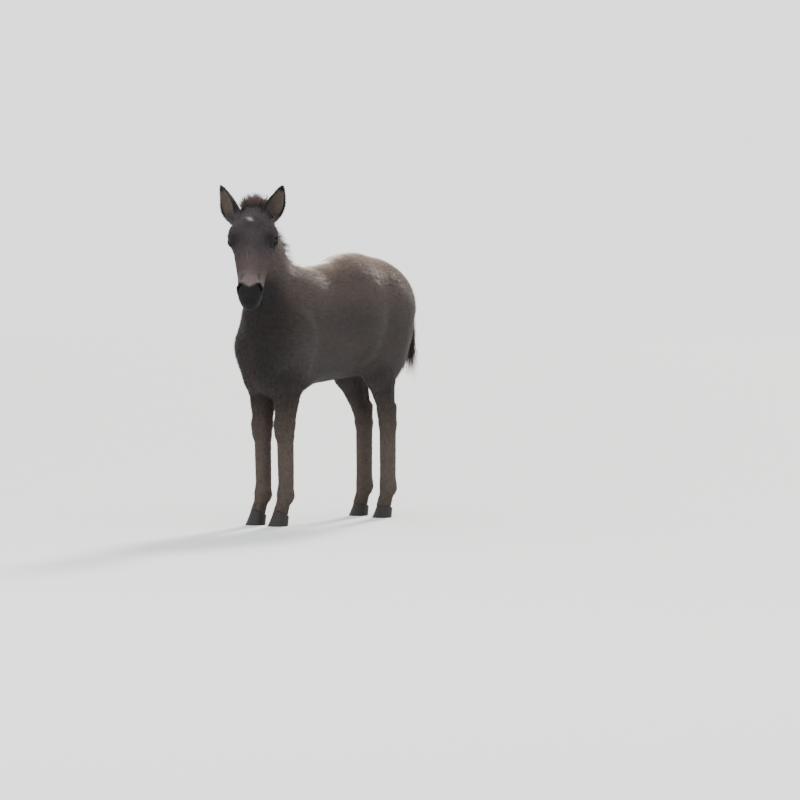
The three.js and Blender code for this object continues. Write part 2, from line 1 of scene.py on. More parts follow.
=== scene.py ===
# %% [markdown]
# # A standing foal, from bare solids to a living coat
# The part is a life-size foal of an Icelandic horse. Its solids give the true size and outline, out to
# the tips of the hair. This lesson dresses them: one smooth skin, a coat of many small tufts that follow
# the lie of the hair, wet dark eyes, horn hooves, and longer curly hair on the poll, neck and tail.
#
# First the frame is loaded.

# %% Load the frame
import math
import time
import bmesh
import bpy
import numpy as np
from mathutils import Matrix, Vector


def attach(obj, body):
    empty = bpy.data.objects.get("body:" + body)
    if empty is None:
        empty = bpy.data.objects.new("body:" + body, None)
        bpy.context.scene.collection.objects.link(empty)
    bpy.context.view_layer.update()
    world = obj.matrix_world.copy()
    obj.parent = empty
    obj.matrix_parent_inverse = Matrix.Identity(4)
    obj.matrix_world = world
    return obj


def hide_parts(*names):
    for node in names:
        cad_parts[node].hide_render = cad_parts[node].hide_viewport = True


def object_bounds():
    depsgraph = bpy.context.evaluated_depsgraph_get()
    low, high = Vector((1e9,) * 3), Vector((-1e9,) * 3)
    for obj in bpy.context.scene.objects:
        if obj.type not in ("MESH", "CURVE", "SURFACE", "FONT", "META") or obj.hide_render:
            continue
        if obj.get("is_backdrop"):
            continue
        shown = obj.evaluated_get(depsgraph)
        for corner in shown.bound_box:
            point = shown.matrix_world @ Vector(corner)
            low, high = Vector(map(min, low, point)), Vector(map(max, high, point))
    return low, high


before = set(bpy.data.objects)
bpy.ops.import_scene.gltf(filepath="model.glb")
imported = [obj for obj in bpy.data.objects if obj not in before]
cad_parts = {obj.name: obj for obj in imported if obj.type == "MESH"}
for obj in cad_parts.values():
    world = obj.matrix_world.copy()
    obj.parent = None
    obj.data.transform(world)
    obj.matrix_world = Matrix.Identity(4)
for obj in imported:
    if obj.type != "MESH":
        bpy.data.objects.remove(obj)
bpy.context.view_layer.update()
started = time.time()
rng = np.random.default_rng(4127)
shift = np.array([-34.0, 60.0, 0.0])  # from the anatomical frame to the part's frame, in millimetres


def clock():
    return f"{time.time() - started:.1f} s"



# %% [markdown]
# ## The masses of the body
# A foal's shape can be told as a few dozen masses of flesh and bone: ribs, shoulder blade, forearm, knee.
# Each is a tapered capsule, flattened sideways, that melts softly into its neighbours. The same masses
# shape the solids, so the skin made here lies just inside them. Sizes are in millimetres: the foal faces
# -Y and its left side is +X.

# %% Masses of trunk and limbs
TRUNK = [
    # from, to, radii, flatness, softness of the join
    ((0, -215, 778), (0, 130, 818), 234, 238, 0.60, 0),  # ribs and belly
    ((0, 180, 888), (0, 288, 886), 204, 194, 0.68, 90),  # loins and croup
    ((0, -190, 925), (0, -40, 940), 82, 78, 0.60, 70),  # withers
    ((0, -350, 625), (0, -180, 605), 92, 70, 0.85, 60),  # brisket
    ((0, -258, 868), (6, -335, 980), 150, 114, 0.54, 70),  # root of the neck
    ((6, -335, 980), (25, -385, 1085), 120, 90, 0.54, 40),  # neck
    ((25, -385, 1085), (60, -462, 1172), 90, 76, 0.64, 40),  # throat
    ((0, 440, 966), (0, 486, 956), 26, 24, 1.00, 30),  # root of the dock
    ((0, 486, 956), (4, 528, 905), 24, 20, 1.00, 10),  # dock
    ((4, 528, 905), (8, 538, 835), 20, 14, 1.00, 10),  # end of the dock
]


def limb_masses(fore, hind):
    """Masses of one side, for its feet moved back along the body by fore and hind."""
    f, h = fore, hind
    return [
        ((60, -165, 925), (84, -332, 715), 80, 80, 0.44, 60),  # shoulder blade
        ((86, -300, 705), (84, -225, 602), 86, 58, 0.46, 40),  # triceps to elbow
        ((38, -355, 705), (36, -342, 590), 76, 64, 0.85, 50),  # breast
        ((66, -290, 570), (58, -296 + f / 2, 405), 70, 45, 0.84, 45),  # forearm
        ((57, -299 + f, 402), (57, -299 + f, 374), 47, 44, 0.98, 14),  # knee
        ((57, -298 + f, 355), (57, -293 + f, 165), 35, 33, 0.94, 18),  # cannon
        ((57, -276 + f, 350), (57, -274 + f, 168), 24, 23, 0.94, 18),  # tendons
        ((57, -292 + f, 130), (57, -290 + f, 122), 39, 38, 0.96, 16),  # fetlock
        ((57, -266 + f, 116), (57, -258 + f, 92), 19, 10, 1.00, 16),  # fetlock hair
        ((57, -300 + f, 104), (57, -322 + f, 52), 30, 33, 1.00, 16),  # pastern
        ((46, 350, 862), (68, 312, 705), 150, 116, 0.62, 70),  # haunch
        ((84, 215, 655), (84, 240, 600), 76, 66, 0.58, 55),  # stifle
        ((60, 372, 765), (74, 320, 620), 84, 60, 0.60, 50),  # back of the thigh
        ((82, 262, 600), (77, 300 + h / 2, 470), 74, 42, 0.74, 30),  # gaskin
        ((78, 330 + h / 2, 560), (76, 344 + h, 460), 28, 19, 0.90, 20),  # hamstring
        ((75, 318 + h, 434), (75, 324 + h, 398), 50, 46, 0.76, 20),  # hock
        ((75, 352 + h, 455), (75, 346 + h, 425), 23, 21, 0.85, 14),  # point of the hock
        ((74, 322 + h, 385), (74, 322 + h, 168), 37, 35, 0.92, 18),  # hind cannon
        ((74, 344 + h, 380), (74, 344 + h, 170), 24, 23, 0.94, 18),  # hind tendons
        ((74, 328 + h, 134), (74, 330 + h, 124), 40, 39, 0.96, 16),  # hind fetlock
        ((74, 356 + h, 118), (74, 364 + h, 94), 19, 10, 1.00, 16),  # hind fetlock hair
        ((74, 322 + h, 106), (74, 300 + h, 52), 31, 33, 1.00, 16),  # hind pastern
    ]


RIGHT_FORE, RIGHT_HIND = -8, 24  # how far the right feet stand behind the left ones
LEFT_LIMBS = limb_masses(0, 0)
RIGHT_LIMBS = limb_masses(RIGHT_FORE, RIGHT_HIND)
print(len(TRUNK) + 2 * len(LEFT_LIMBS), "masses in trunk and limbs")

# %% [markdown]
# ## The head in its own frame
# The head is turned and bowed, so its masses are given in a frame of their own: v to its left, w out of
# the face, u down the face from the poll. Paired masses are listed once and mirrored.

# %% Masses of the head
HEAD_TURN, HEAD_PITCH = math.radians(37), math.radians(61)
POLL = np.array([100.0, -528.0, 1268.0])
FACING = np.array([math.sin(HEAD_TURN), -math.cos(HEAD_TURN), 0.0])
HEAD_LEFT = np.array([math.cos(HEAD_TURN), math.sin(HEAD_TURN), 0.0])
UP = np.array([0.0, 0.0, 1.0])
DOWN_FACE = FACING * math.cos(HEAD_PITCH) - UP * math.sin(HEAD_PITCH)
OUT_FACE = FACING * math.sin(HEAD_PITCH) + UP * math.cos(HEAD_PITCH)
HEAD_AXES = np.array([HEAD_LEFT, OUT_FACE, DOWN_FACE])

SKULL = [
    ((0, -62, 40), (0, -56, 92), 60, 62, 1.40, 30),  # braincase
    ((0, -50, 4), (0, -54, 26), 36, 36, 1.50, 24),  # base of the forelock
    ((0, -46, 80), (0, -46, 130), 50, 50, 1.25, 30),  # forehead
    ((0, -41, 120), (0, -44, 350), 45, 33, 1.00, 30),  # bridge of the nose
    ((0, -108, 225), (0, -88, 370), 32, 23, 0.95, 30),  # front of the lower jaw
    ((0, -84, 386), (0, -86, 392), 22, 21, 1.15, 16),  # chin
    ((0, -50, 338), (0, -53, 384), 42, 38, 1.08, 28),  # muzzle
    ((0, -47, 398), (0, -58, 404), 27, 23, 1.25, 16),  # upper lip
]
SKULL_PAIRS = [
    ((66, -46, 98), (68, -42, 122), 31, 28, 1.00, 22),  # brow
    ((44, -72, 130), (24, -68, 300), 40, 30, 0.95, 28),  # cheekbone
    ((42, -108, 104), (24, -110, 232), 56, 34, 0.62, 34),  # jowl
    ((27, -36, 356), (25, -44, 376), 21, 19, 1.00, 14),  # nostril wing
]
EYE = np.array([75.0, -47.0, 136.0])
EYE_RADIUS = 19.0


def from_head(points):
    return POLL + np.asarray(points, float) @ HEAD_AXES


def to_head(points):
    return (points - POLL) @ HEAD_AXES.T


print("tip of the nose", from_head((0, -40, 405)).round(1))

# %% [markdown]
# ## Fields
# A field is a function that is under zero inside the body and over zero outside. Each mass has one, and
# two fields melt together with a soft minimum. With arrays, one call handles all the points at once.

# %% Field functions
FAR = 1e4  # a field before any mass is melted in


def distance(mass, points):
    """How far points lie outside a tapered capsule that is flattened sideways."""
    a, b, start, end, flat, _ = mass
    scale = np.array([1 / flat, 1.0, 1.0])
    a, b = np.asarray(a, float) * scale, np.asarray(b, float) * scale
    along = b - a
    t = np.clip(((points * scale - a) @ along) / max(along @ along, 1e-9), 0, 1)
    q = points * scale - a - t[:, None] * along
    length = np.sqrt((q * q).sum(1)) + 1e-6
    slope = np.sqrt((q[:, 0] / flat) ** 2 + q[:, 1] ** 2 + q[:, 2] ** 2) / length + 1e-9
    return (length - start - (end - start) * t) / slope


def melt(a, b, softness):
    """The smaller of two fields, rounded where they are nearly equal."""
    if softness <= 0:
        return np.minimum(a, b)
    h = np.maximum(softness - np.abs(a - b), 0) / softness
    return np.minimum(a, b) - h * h * softness / 4


def melt_in(d, mass, points):
    """A field with one more mass, melted in by the softness of its own join."""
    return melt(d, distance(mass, points), mass[5])


def smoothstep(x, low, high):
    """A soft step from 0 at low to 1 at high."""
    t = np.clip((x - low) / (high - low), 0, 1)
    return t * t * (3 - 2 * t)


def chain(points, radii, local, softness=1.5):
    """The field of a thin round cord through the points."""
    d = np.full(len(local), FAR)
    for i in range(len(points) - 1):
        piece = (points[i], points[i + 1], radii[i], radii[i + 1], 1.0, 0)
        d = melt(d, distance(piece, local), softness)
    return d


# %% [markdown]
# ## Eyes and lids
# A foal's eye sits in the side of the head. A low dome of skin covers the ball, an almond is taken out of
# it, and two thin rolls follow the edges of the almond over the ball, as the lids do.

# %% The eye's opening
EYE_OUT = np.array([0.87, 0.47, 0.12]) / np.linalg.norm([0.87, 0.47, 0.12])
EYE_ALONG = np.array([-0.28, 0.30, 0.91])
EYE_ALONG = EYE_ALONG - EYE_OUT * (EYE_ALONG @ EYE_OUT)
EYE_ALONG /= np.linalg.norm(EYE_ALONG)
EYE_UP = np.cross(EYE_ALONG, EYE_OUT)
EYE_UP *= np.sign(EYE_UP[1])
LID_STEPS = 7
LID_REACH = math.radians(66)  # from the middle of the eye to its corners
LID_SLANT = math.radians(7)  # the front corner sits lower
LID_RISE = 1.6  # of the lid's edge over the ball
LID_THICKNESS = 5.5  # of the dome of skin over the ball
EYE_GAP = 0.2  # between ball and skin
OPENING_REACH = 12  # how far out of the ball the almond is taken away


def lid_line(opening):
    """Points on the ball of the eye along the edge of a lid, opened by an angle in the middle."""
    line = []
    for i in range(LID_STEPS):
        s = 2 * i / (LID_STEPS - 1) - 1
        turn = s * LID_REACH
        rise = math.radians(opening) * math.cos(s * math.pi / 2) - LID_SLANT * s
        way = EYE_OUT * math.cos(turn) * math.cos(rise) + EYE_ALONG * math.sin(turn) * math.cos(rise)
        line.append(EYE + (way + EYE_UP * math.sin(rise)) * (EYE_RADIUS + LID_RISE))
    return line


UPPER_LID, LOWER_LID = 40, -29  # degrees from the middle of the eye
LIDS = [
    # edge of the lid, radii of its roll
    (lid_line(UPPER_LID), [1.8, 2.2, 2.6, 2.8, 2.6, 2.2, 1.8]),
    (lid_line(LOWER_LID), [1.7, 2.0, 2.2, 2.2, 2.2, 2.0, 1.7]),
]


def eye_opening(q, away):
    """Under zero in the almond between the lids, seen from the middle of the ball."""
    way = (q - EYE) / (away + 1e-6)[:, None]
    turn = np.arctan2(way @ EYE_ALONG, way @ EYE_OUT)
    rise = np.arcsin(np.clip(way @ EYE_UP, -1, 1))
    s = np.clip(turn / LID_REACH, -1, 1)
    arch, slant = np.cos(s * math.pi / 2), LID_SLANT * s
    above = rise - math.radians(UPPER_LID) * arch + slant
    below = math.radians(LOWER_LID) * arch - slant - rise
    almond = EYE_RADIUS * np.maximum(np.maximum(above, below), np.abs(turn) - LID_REACH)
    return np.maximum(almond, away - EYE_RADIUS - OPENING_REACH)


print("an eye is open by", UPPER_LID - LOWER_LID, "degrees")

# %% [markdown]
# ## The face
# The brow is a soft fold over the eye, and the crest of the cheek a low ridge below it. A nostril is a
# comma, so a tapering cord is taken away inside a raised rim. The mouth is a slit of even depth.

# %% The head's field
BROW_FOLD = [EYE + (8, 17, -24), EYE + (15, 19, -12), EYE + (13, 21, 2), EYE + (5, 20, 14)]
NOSTRIL = [(26, -13, 345), (37, -19, 349), (41, -28, 358), (37, -35, 368), (30, -36, 372)]
NOSTRIL_RIM = [(24, -11, 338), (38, -15, 340), (46, -27, 352), (43, -40, 368), (33, -44, 378)]
CREST = [(52, -58, 168), (45, -62, 205), (37, -66, 240)]
MOUTH_CORNER = 338  # how far down the face the mouth begins
MOUTH_LEVEL, MOUTH_RISE = -80, 9  # of the slit at its corner, and from there to the front
SLIT_HALF, SLIT_DEPTH = 2.5, 5


def face_field(local):
    """The head without its ears, for points in the head's frame."""
    paired = local.copy()
    paired[:, 0] = np.abs(paired[:, 0])
    d = np.full(len(local), FAR)
    for mass in SKULL:
        d = melt_in(d, mass, local)
    for mass in SKULL_PAIRS:
        d = melt_in(d, mass, paired)
    d = melt(d, chain(CREST, [9, 8, 6], paired), 12)
    near = np.abs(paired - EYE).max(1) < 60
    if near.any():
        q = paired[near]
        e = melt(d[near], chain(BROW_FOLD, [5, 6, 6, 4], q), 9)
        away = np.sqrt(((q - EYE) ** 2).sum(1))
        e = melt(e, away - EYE_RADIUS - LID_THICKNESS, 7)
        e = -melt(-e, eye_opening(q, away), 2)
        for line, radii in LIDS:
            e = melt(e, chain(line, radii, q), 2.5)
        d[near] = -melt(-e, away - EYE_RADIUS - EYE_GAP, 0.8)
    near = (local[:, 2] > 290) & (local[:, 2] < 430)
    if near.any():
        q = paired[near]
        e = melt(d[near], chain(NOSTRIL_RIM, [5, 6.5, 6.5, 6, 5], q), 7)
        e = -melt(-e, chain(NOSTRIL, [2.5, 4.5, 6.5, 6, 3.5], q), 4)
        closed = MOUTH_LEVEL + MOUTH_RISE * smoothstep(q[:, 2], 335, 405)
        slit = np.maximum(np.abs(q[:, 1] - closed) - SLIT_HALF, -(e + SLIT_DEPTH))
        slit = np.maximum(slit, MOUTH_CORNER - q[:, 2])
        d[near] = -melt(-e, slit, 3)
    return d


print("face at the chin", face_field(np.array([[0.0, -120, 386]])).round(1))

# %% [markdown]
# ## The ears
# Each ear is a thin cup that narrows to a stem below and a point above. Its wall is a stretch of a ring
# whose radius and reach change along the ear. The right one is turned more outward, as in the photo.

# %% The ears' fields
EAR_LENGTH = 150.0
EAR_FLATNESS = 0.82  # of the cup, from its opening to its back
EARS = {"left": (1, math.radians(4)), "right": (-1, math.radians(38))}  # side, and turn outward


def ear_frame(side, turn):
    """Root, axis, sideways and opening of an ear."""
    axis = UP * 0.9 + HEAD_LEFT * side * 0.4 + FACING * 0.04
    axis /= np.linalg.norm(axis)
    opened = FACING * math.cos(turn) + HEAD_LEFT * side * math.sin(turn)
    opened -= axis * (opened @ axis)
    opened /= np.linalg.norm(opened)
    return from_head((side * 60 - 7, -40, 44)), axis, np.cross(axis, opened), opened


def ear_coordinates(points, side, turn):
    """Share of the ear's length, and places across the ear and towards its opening."""
    root, axis, across, opened = ear_frame(side, turn)
    t = (points - root) @ axis / EAR_LENGTH
    bow = 7 * np.sin(np.clip(t, 0, 1) * math.pi) * side
    q = points - root - bow[:, None] * HEAD_LEFT
    return t, q @ across, (q @ opened) / EAR_FLATNESS


def ear_half_width(t):
    """Half the width of the cup: narrow at the stem, widest near its middle, pointed above."""
    return 3.6 + 34 * np.maximum(np.sin(math.pi * (0.2 + 0.8 * np.clip(t, 0, 1)) ** 0.9), 0) ** 0.8


def ear_wall(t):
    """Thickness of the wall: the stem is solid, the cup thin."""
    return np.maximum(7.5, 30 * (1 - t * 3.2))


def ear_wrap(t):
    """How far the wall reaches round from the back of the ear."""
    return np.radians(150 - 70 * np.clip(t * 1.4, 0, 1))


def shell_field(points, side, turn):
    """The field of one ear."""
    t, across, opened = ear_coordinates(points, side, turn)
    half = ear_half_width(t)
    wall = ear_wall(t)
    radius = np.sqrt(across**2 + opened**2)
    shell = np.abs(radius - half + wall / 2) - wall / 2
    edge = (np.arctan2(np.abs(across), -opened) - ear_wrap(t)) * np.maximum(radius, 2)
    ends = np.maximum(t - 1, -t - 0.05) * EAR_LENGTH
    return np.maximum(np.maximum(shell, edge), ends)


print("width of an ear's cup", round(2 * float(ear_half_width(np.array([0.5]))[0])))

# %% [markdown]
# ## The whole foal
# The skin lies under the tips of the coat by the coat's depth. The depth is greatest on the trunk, less
# on the legs and face, and nearly nothing on the muzzle and the lids.

# %% The whole field
NECK_CUT = np.array([50.0, -445.0, 1130.0])  # a place in the upper neck, where head and body meet
NECK_WAY = np.array([0.3, -0.85, 0.42])
NECK_WAY /= np.linalg.norm(NECK_WAY)
TRUNK_DEPTH, LEG_DEPTH = 7.0, 4.0  # of the coat
HEAD_MIDDLE, HEAD_REACH = np.array([0, -60, 200]), np.array([260, 260, 400])  # in the head's frame
EAR_THICKENING = 2.2


def headness(points):
    """A share that grows from 0 on the body to 1 on the head."""
    return smoothstep((points - NECK_CUT) @ NECK_WAY, -30, 70)


def coat_depth(points):
    """How far the skin lies under the tips of the coat."""
    head = headness(points)
    low = 1 - smoothstep(points[:, 2], 400, 560)
    body = TRUNK_DEPTH * (1 - low) + LEG_DEPTH * low
    local = to_head(points)
    local[:, 0] = np.abs(local[:, 0])
    by_eye = smoothstep(np.sqrt(((local - EYE) ** 2).sum(1)), 31, 48)
    face = 0.1 + (2.5 - 2.2 * smoothstep(local[:, 2], 300, 350)) * by_eye
    return body * (1 - head) + face * head


def foal_field(points):
    """The field of the whole skin."""
    d = np.full(len(points), FAR)
    for mass in TRUNK:
        d = melt_in(d, mass, points)
    mirrored = points * np.array([-1.0, 1.0, 1.0])
    sides = []
    for masses, q in ((LEFT_LIMBS, points), (RIGHT_LIMBS, mirrored)):
        near = q[:, 0] > -90
        e = d[near]
        for mass in masses:
            e = melt_in(e, mass, q[near])
        side = d.copy()
        side[near] = e
        sides.append(side)
    d = np.minimum(*sides)
    local = to_head(points)
    near = (np.abs(local - HEAD_MIDDLE) < HEAD_REACH).all(1)
    if near.any():
        e = melt(d[near], face_field(local[near]), 30)
        high = points[near][:, 2] > 1150
        if high.any():
            g = e[high]
            for side, turn in EARS.values():
                g = melt(g, shell_field(points[near][high], side, turn) - EAR_THICKENING, 5)
            e[high] = g
        d[near] = e
    return d + coat_depth(points)


probe = np.array([[0.0, 0, 1030], [0, 0, 800], [100, -528, 1268]])
print("field at back, belly and poll", foal_field(probe).round(1))

# %% [markdown]
# ## From a field to a skin
# The field's zero level is turned into a mesh on a grid. Only the cells near the surface are worked out
# in full.

# %% Values on a grid
DISTANT = 1e3  # stands for any value away from the surface


def eight_corners(values, cells):
    """The values at the eight corners of each cell of a grid."""
    return [
        values[i : cells[0] + i, j : cells[1] + j, k : cells[2] + k]
        for i in (0, 1)
        for j in (0, 1)
        for k in (0, 1)
    ]


def band_values(field, axes, coarse, band):
    """Field values on the grid, exact near the surface and of the right sign elsewhere."""
    shape = [len(a) for a in axes]
    picks = [np.minimum(np.arange(0, n + coarse - 1, coarse), n - 1) for n in shape]
    grid = np.stack(np.meshgrid(*[a[p] for a, p in zip(axes, picks)], indexing="ij"), -1)
    rough = field(grid.reshape(-1, 3)).reshape(grid.shape[:3])
    corners = eight_corners(rough, [size - 1 for size in rough.shape])
    near = np.min([np.abs(c) for c in corners], 0) < band
    solid = np.all([c < 0 for c in corners], 0) & ~near
    own = [np.minimum(np.arange(n) // coarse, len(p) - 2) for n, p in zip(shape, picks)]
    wanted = near[np.ix_(*own)]
    values = np.where(solid[np.ix_(*own)], -DISTANT, DISTANT)
    i, j, k = np.nonzero(wanted)
    points = np.stack([axes[0][i], axes[1][j], axes[2][k]], 1)
    found = np.empty(len(points))
    batch = 200000
    for start in range(0, len(points), batch):
        found[start : start + batch] = field(points[start : start + batch])
    values[i, j, k] = found
    return values


print("a cell has", len(eight_corners(np.zeros((2, 2, 2)), (1, 1, 1))), "corners")

# %% [markdown]
# Each cell that the surface crosses gets one point, and each crossed grid edge gets one face of the four
# points round it. Blender's metaballs melt masses too, but they don't taper, and the depth of the coat
# couldn't be taken off them place by place, so the mesh comes from the field. A ball is tried first.

# %% A mesh on the surface
def surface_net(field, low, high, cell, coarse=6, band=50.0):
    """A mesh of four-sided faces on the field's zero level, with one point in each crossed cell."""
    axes = [np.arange(a, b + cell, cell) for a, b in zip(low, high)]
    values = band_values(field, axes, coarse, band)
    inside = values < 0
    n = [len(a) - 1 for a in axes]
    count = sum(corner.astype(np.int8) for corner in eight_corners(inside, n))
    cells = np.argwhere((count > 0) & (count < 8))
    index = np.full(n, -1)
    index[tuple(cells.T)] = np.arange(len(cells))
    total = np.zeros((len(cells), 3))
    hits = np.zeros(len(cells))
    for axis in range(3):
        others = [a for a in range(3) if a != axis]
        for s in (0, 1):
            for t in (0, 1):
                start = cells.copy()
                start[:, others[0]] += s
                start[:, others[1]] += t
                end = start.copy()
                end[:, axis] += 1
                a, b = values[tuple(start.T)], values[tuple(end.T)]
                crossed = (a < 0) != (b < 0)
                share = np.where(crossed, a / np.where(crossed, a - b, 1), 0)
                point = start.astype(float)
                point[:, axis] += share
                total += point * crossed[:, None]
                hits += crossed
    points = np.array([a[0] for a in axes]) + cell * total / hits[:, None]
    faces = []
    for axis in range(3):
        e, f = (axis + 1) % 3, (axis + 2) % 3
        first = np.take(inside, range(n[axis]), axis)
        second = np.take(inside, range(1, n[axis] + 1), axis)
        for sign in (0, 1):
            edges = np.argwhere((first & ~second) if sign == 0 else (~first & second))
            keep = (edges[:, e] > 0) & (edges[:, f] > 0) & (edges[:, e] < n[e]) & (edges[:, f] < n[f])
            edges = edges[keep]
            ring = []
            for s, t in ((1, 1), (0, 1), (0, 0), (1, 0)):
                c = edges.copy()
                c[:, e] -= s
                c[:, f] -= t
                ring.append(index[tuple(c.T)])
            quad = np.stack(ring if sign == 0 else ring[::-1], 1)
            faces.append(quad[(quad >= 0).all(1)])
    return points, np.concatenate(faces)


def ball_field(points):
    return np.sqrt((points**2).sum(1)) - 10


ball_points, ball_faces = surface_net(ball_field, (-14, -14, -14), (14, 14, 14), 4.0)
print("a ball", len(ball_points), "points", len(ball_faces), "faces")

# %% [markdown]
# A point of such a mesh lies near the surface, not on it. The field's value says how far off it is, and
# the field's slope says which way, so a few short steps bring it there. The head has a finer grid than the
# body, because lids and nostrils are small.

# %% Body and head
def field_and_slope(field, points, step=0.6):
    d = field(points)
    slope = np.stack([field(points + step * axis) - d for axis in np.eye(3)], 1) / step
    return d, slope


def settle(field, points, rounds=3, limit=2.5):
    """Points moved onto the field's zero level."""
    for _ in range(rounds):
        d, slope = field_and_slope(field, points)
        steep = np.maximum((slope**2).sum(1), 0.2)
        points = points - slope * (np.clip(d, -limit, limit) / steep)[:, None]
    return points


BODY_BOX, BODY_CELL = ((-230, -520, 20), (230, 620, 1290)), 10.0
HEAD_BOX, HEAD_CELL = ((-80, -705, 825), (250, -325, 1375)), 4.0
body_points, body_faces = surface_net(foal_field, *BODY_BOX, BODY_CELL)
body_points = settle(foal_field, body_points)
print("body", len(body_points), "points", clock())
head_points, head_faces = surface_net(foal_field, *HEAD_BOX, HEAD_CELL, 7, 30.0)
head_points = settle(foal_field, head_points, 3, 1.2)
print("head", len(head_points), "points", clock())

# %% [markdown]
# ## One skin
# A foal's skin has no seam, so body and head must become one mesh. Both lie on the same surface, so each
# is cut across the upper neck, and the two cut edges are bridged.

# %% Cut and bridge
def new_object(name, mesh):
    obj = bpy.data.objects.new(name, mesh)
    bpy.context.scene.collection.objects.link(obj)
    return obj


def bmesh_from(points, faces):
    mesh = bpy.data.meshes.new("scratch")
    mesh.from_pydata(points.tolist(), [], faces.tolist())
    bm = bmesh.new()
    bm.from_mesh(mesh)
    bpy.data.meshes.remove(mesh)
    return bm


def cut(bm, point, normal):
    """Takes away what lies behind a plane."""
    geometry = bm.verts[:] + bm.edges[:] + bm.faces[:]
    bmesh.ops.bisect_plane(bm, geom=geometry, plane_co=point, plane_no=normal, clear_inner=True)


def keep_largest(bm):
    """Takes away all but the largest connected mesh."""
    bm.verts.ensure_lookup_table()
    group = [-1] * len(bm.verts)
    sizes = []
    for seed in bm.verts:
        if group[seed.index] >= 0:
            continue
        stack, size = [seed], 0
        group[seed.index] = len(sizes)
        while stack:
            vertex = stack.pop()
            size += 1
            for edge in vertex.link_edges:
                other = edge.other_vert(vertex)
                if group[other.index] < 0:
                    group[other.index] = len(sizes)
                    stack.append(other)
        sizes.append(size)
    best = sizes.index(max(sizes))
    bmesh.ops.delete(bm, geom=[v for v in bm.verts if group[v.index] != best], context="VERTS")


NECK_BRIDGE = 7  # width of the strip that is left open between body and head
bm = bmesh_from(body_points, body_faces)
cut(bm, NECK_CUT - NECK_BRIDGE * NECK_WAY, -NECK_WAY)
keep_largest(bm)
head_bm = bmesh_from(head_points, head_faces)
cut(head_bm, NECK_CUT, NECK_WAY)
keep_largest(head_bm)
scratch = bpy.data.meshes.new("scratch")
head_bm.to_mesh(scratch)
head_bm.free()
bm.from_mesh(scratch)
rims = [e for e in bm.edges if e.is_boundary]
bridged = bmesh.ops.bridge_loops(bm, edges=rims)
print("bridge of", len(bridged["faces"]), "faces")
bmesh.ops.triangulate(bm, faces=bridged["faces"])

# %% [markdown]
# Round the eyes, the nostrils and the mouth the faces are divided again and moved back onto the field.
# That gives crisp lids and nostrils without a heavy mesh elsewhere.

# %% Refine the face
def refine(bm, wanted):
    """Halves the edges whose two ends lie in the wanted places."""
    bm.verts.ensure_lookup_table()
    points = np.array([v.co for v in bm.verts])
    near = wanted(points)
    edges = [e for e in bm.edges if near[e.verts[0].index] and near[e.verts[1].index]]
    bmesh.ops.subdivide_edges(bm, edges=edges, cuts=1, use_grid_fill=True)


def near_eyes(points, reach=34):
    local = to_head(points)
    local[:, 0] = np.abs(local[:, 0])
    return np.sqrt(((local - EYE - (8, 0, 0)) ** 2).sum(1)) < reach


def near_muzzle(points):
    local = to_head(points)
    return (local[:, 2] > 318) & (np.abs(local[:, 0]) < 70) & (local[:, 1] > -130) & (local[:, 1] < 60)


def near_lips(points):
    local = to_head(points)
    local[:, 0] = np.abs(local[:, 0])
    lips = (np.abs(local[:, 1] + 76) < 9) & (local[:, 2] > 332)
    return lips | (np.sqrt(((local - NOSTRIL[2]) ** 2).sum(1)) < 24)


refine(bm, lambda p: near_eyes(p) | near_muzzle(p))
refine(bm, lambda p: near_eyes(p, 30) | near_lips(p))
bm.verts.ensure_lookup_table()
points = np.array([v.co for v in bm.verts])
face_part = headness(points) > 0.9
points[face_part] = settle(foal_field, points[face_part], 4, 0.8)
points[~face_part] = settle(foal_field, points[~face_part], 1)
for vertex, point in zip(bm.verts, points):
    vertex.co = (point + shift) / 1000
bmesh.ops.triangulate(bm, faces=bm.faces[:])
bmesh.ops.recalc_face_normals(bm, faces=bm.faces[:])
for face in bm.faces:
    face.smooth = True
mesh = bpy.data.meshes.new("skin")
bm.to_mesh(mesh)
bm.free()
skin = new_object("skin", mesh)
print("skin", len(mesh.vertices), "points", len(mesh.polygons), "triangles", clock())

# %% [markdown]
# ## The lie of the coat
# Hair on a foal runs from the poll down the neck, back along the trunk and down the legs. On the face it
# parts at a whorl on the forehead: up towards the poll, and down to the nose. The skin's own points and
# slopes give every place its outward way; the lie is laid flat on it.

# %% Lie of the coat
WHORL = np.array([-10.0, 0.0, 62.0])  # on the forehead, in the head's frame


def vertex_arrays(mesh):
    """Places and outward ways of the skin's points, in the anatomical frame."""
    count = len(mesh.vertices)
    co = np.empty(count * 3)
    mesh.vertices.foreach_get("co", co)
    no = np.empty(count * 3)
    mesh.vertices.foreach_get("normal", no)
    return co.reshape(-1, 3) * 1000 - shift, no.reshape(-1, 3)


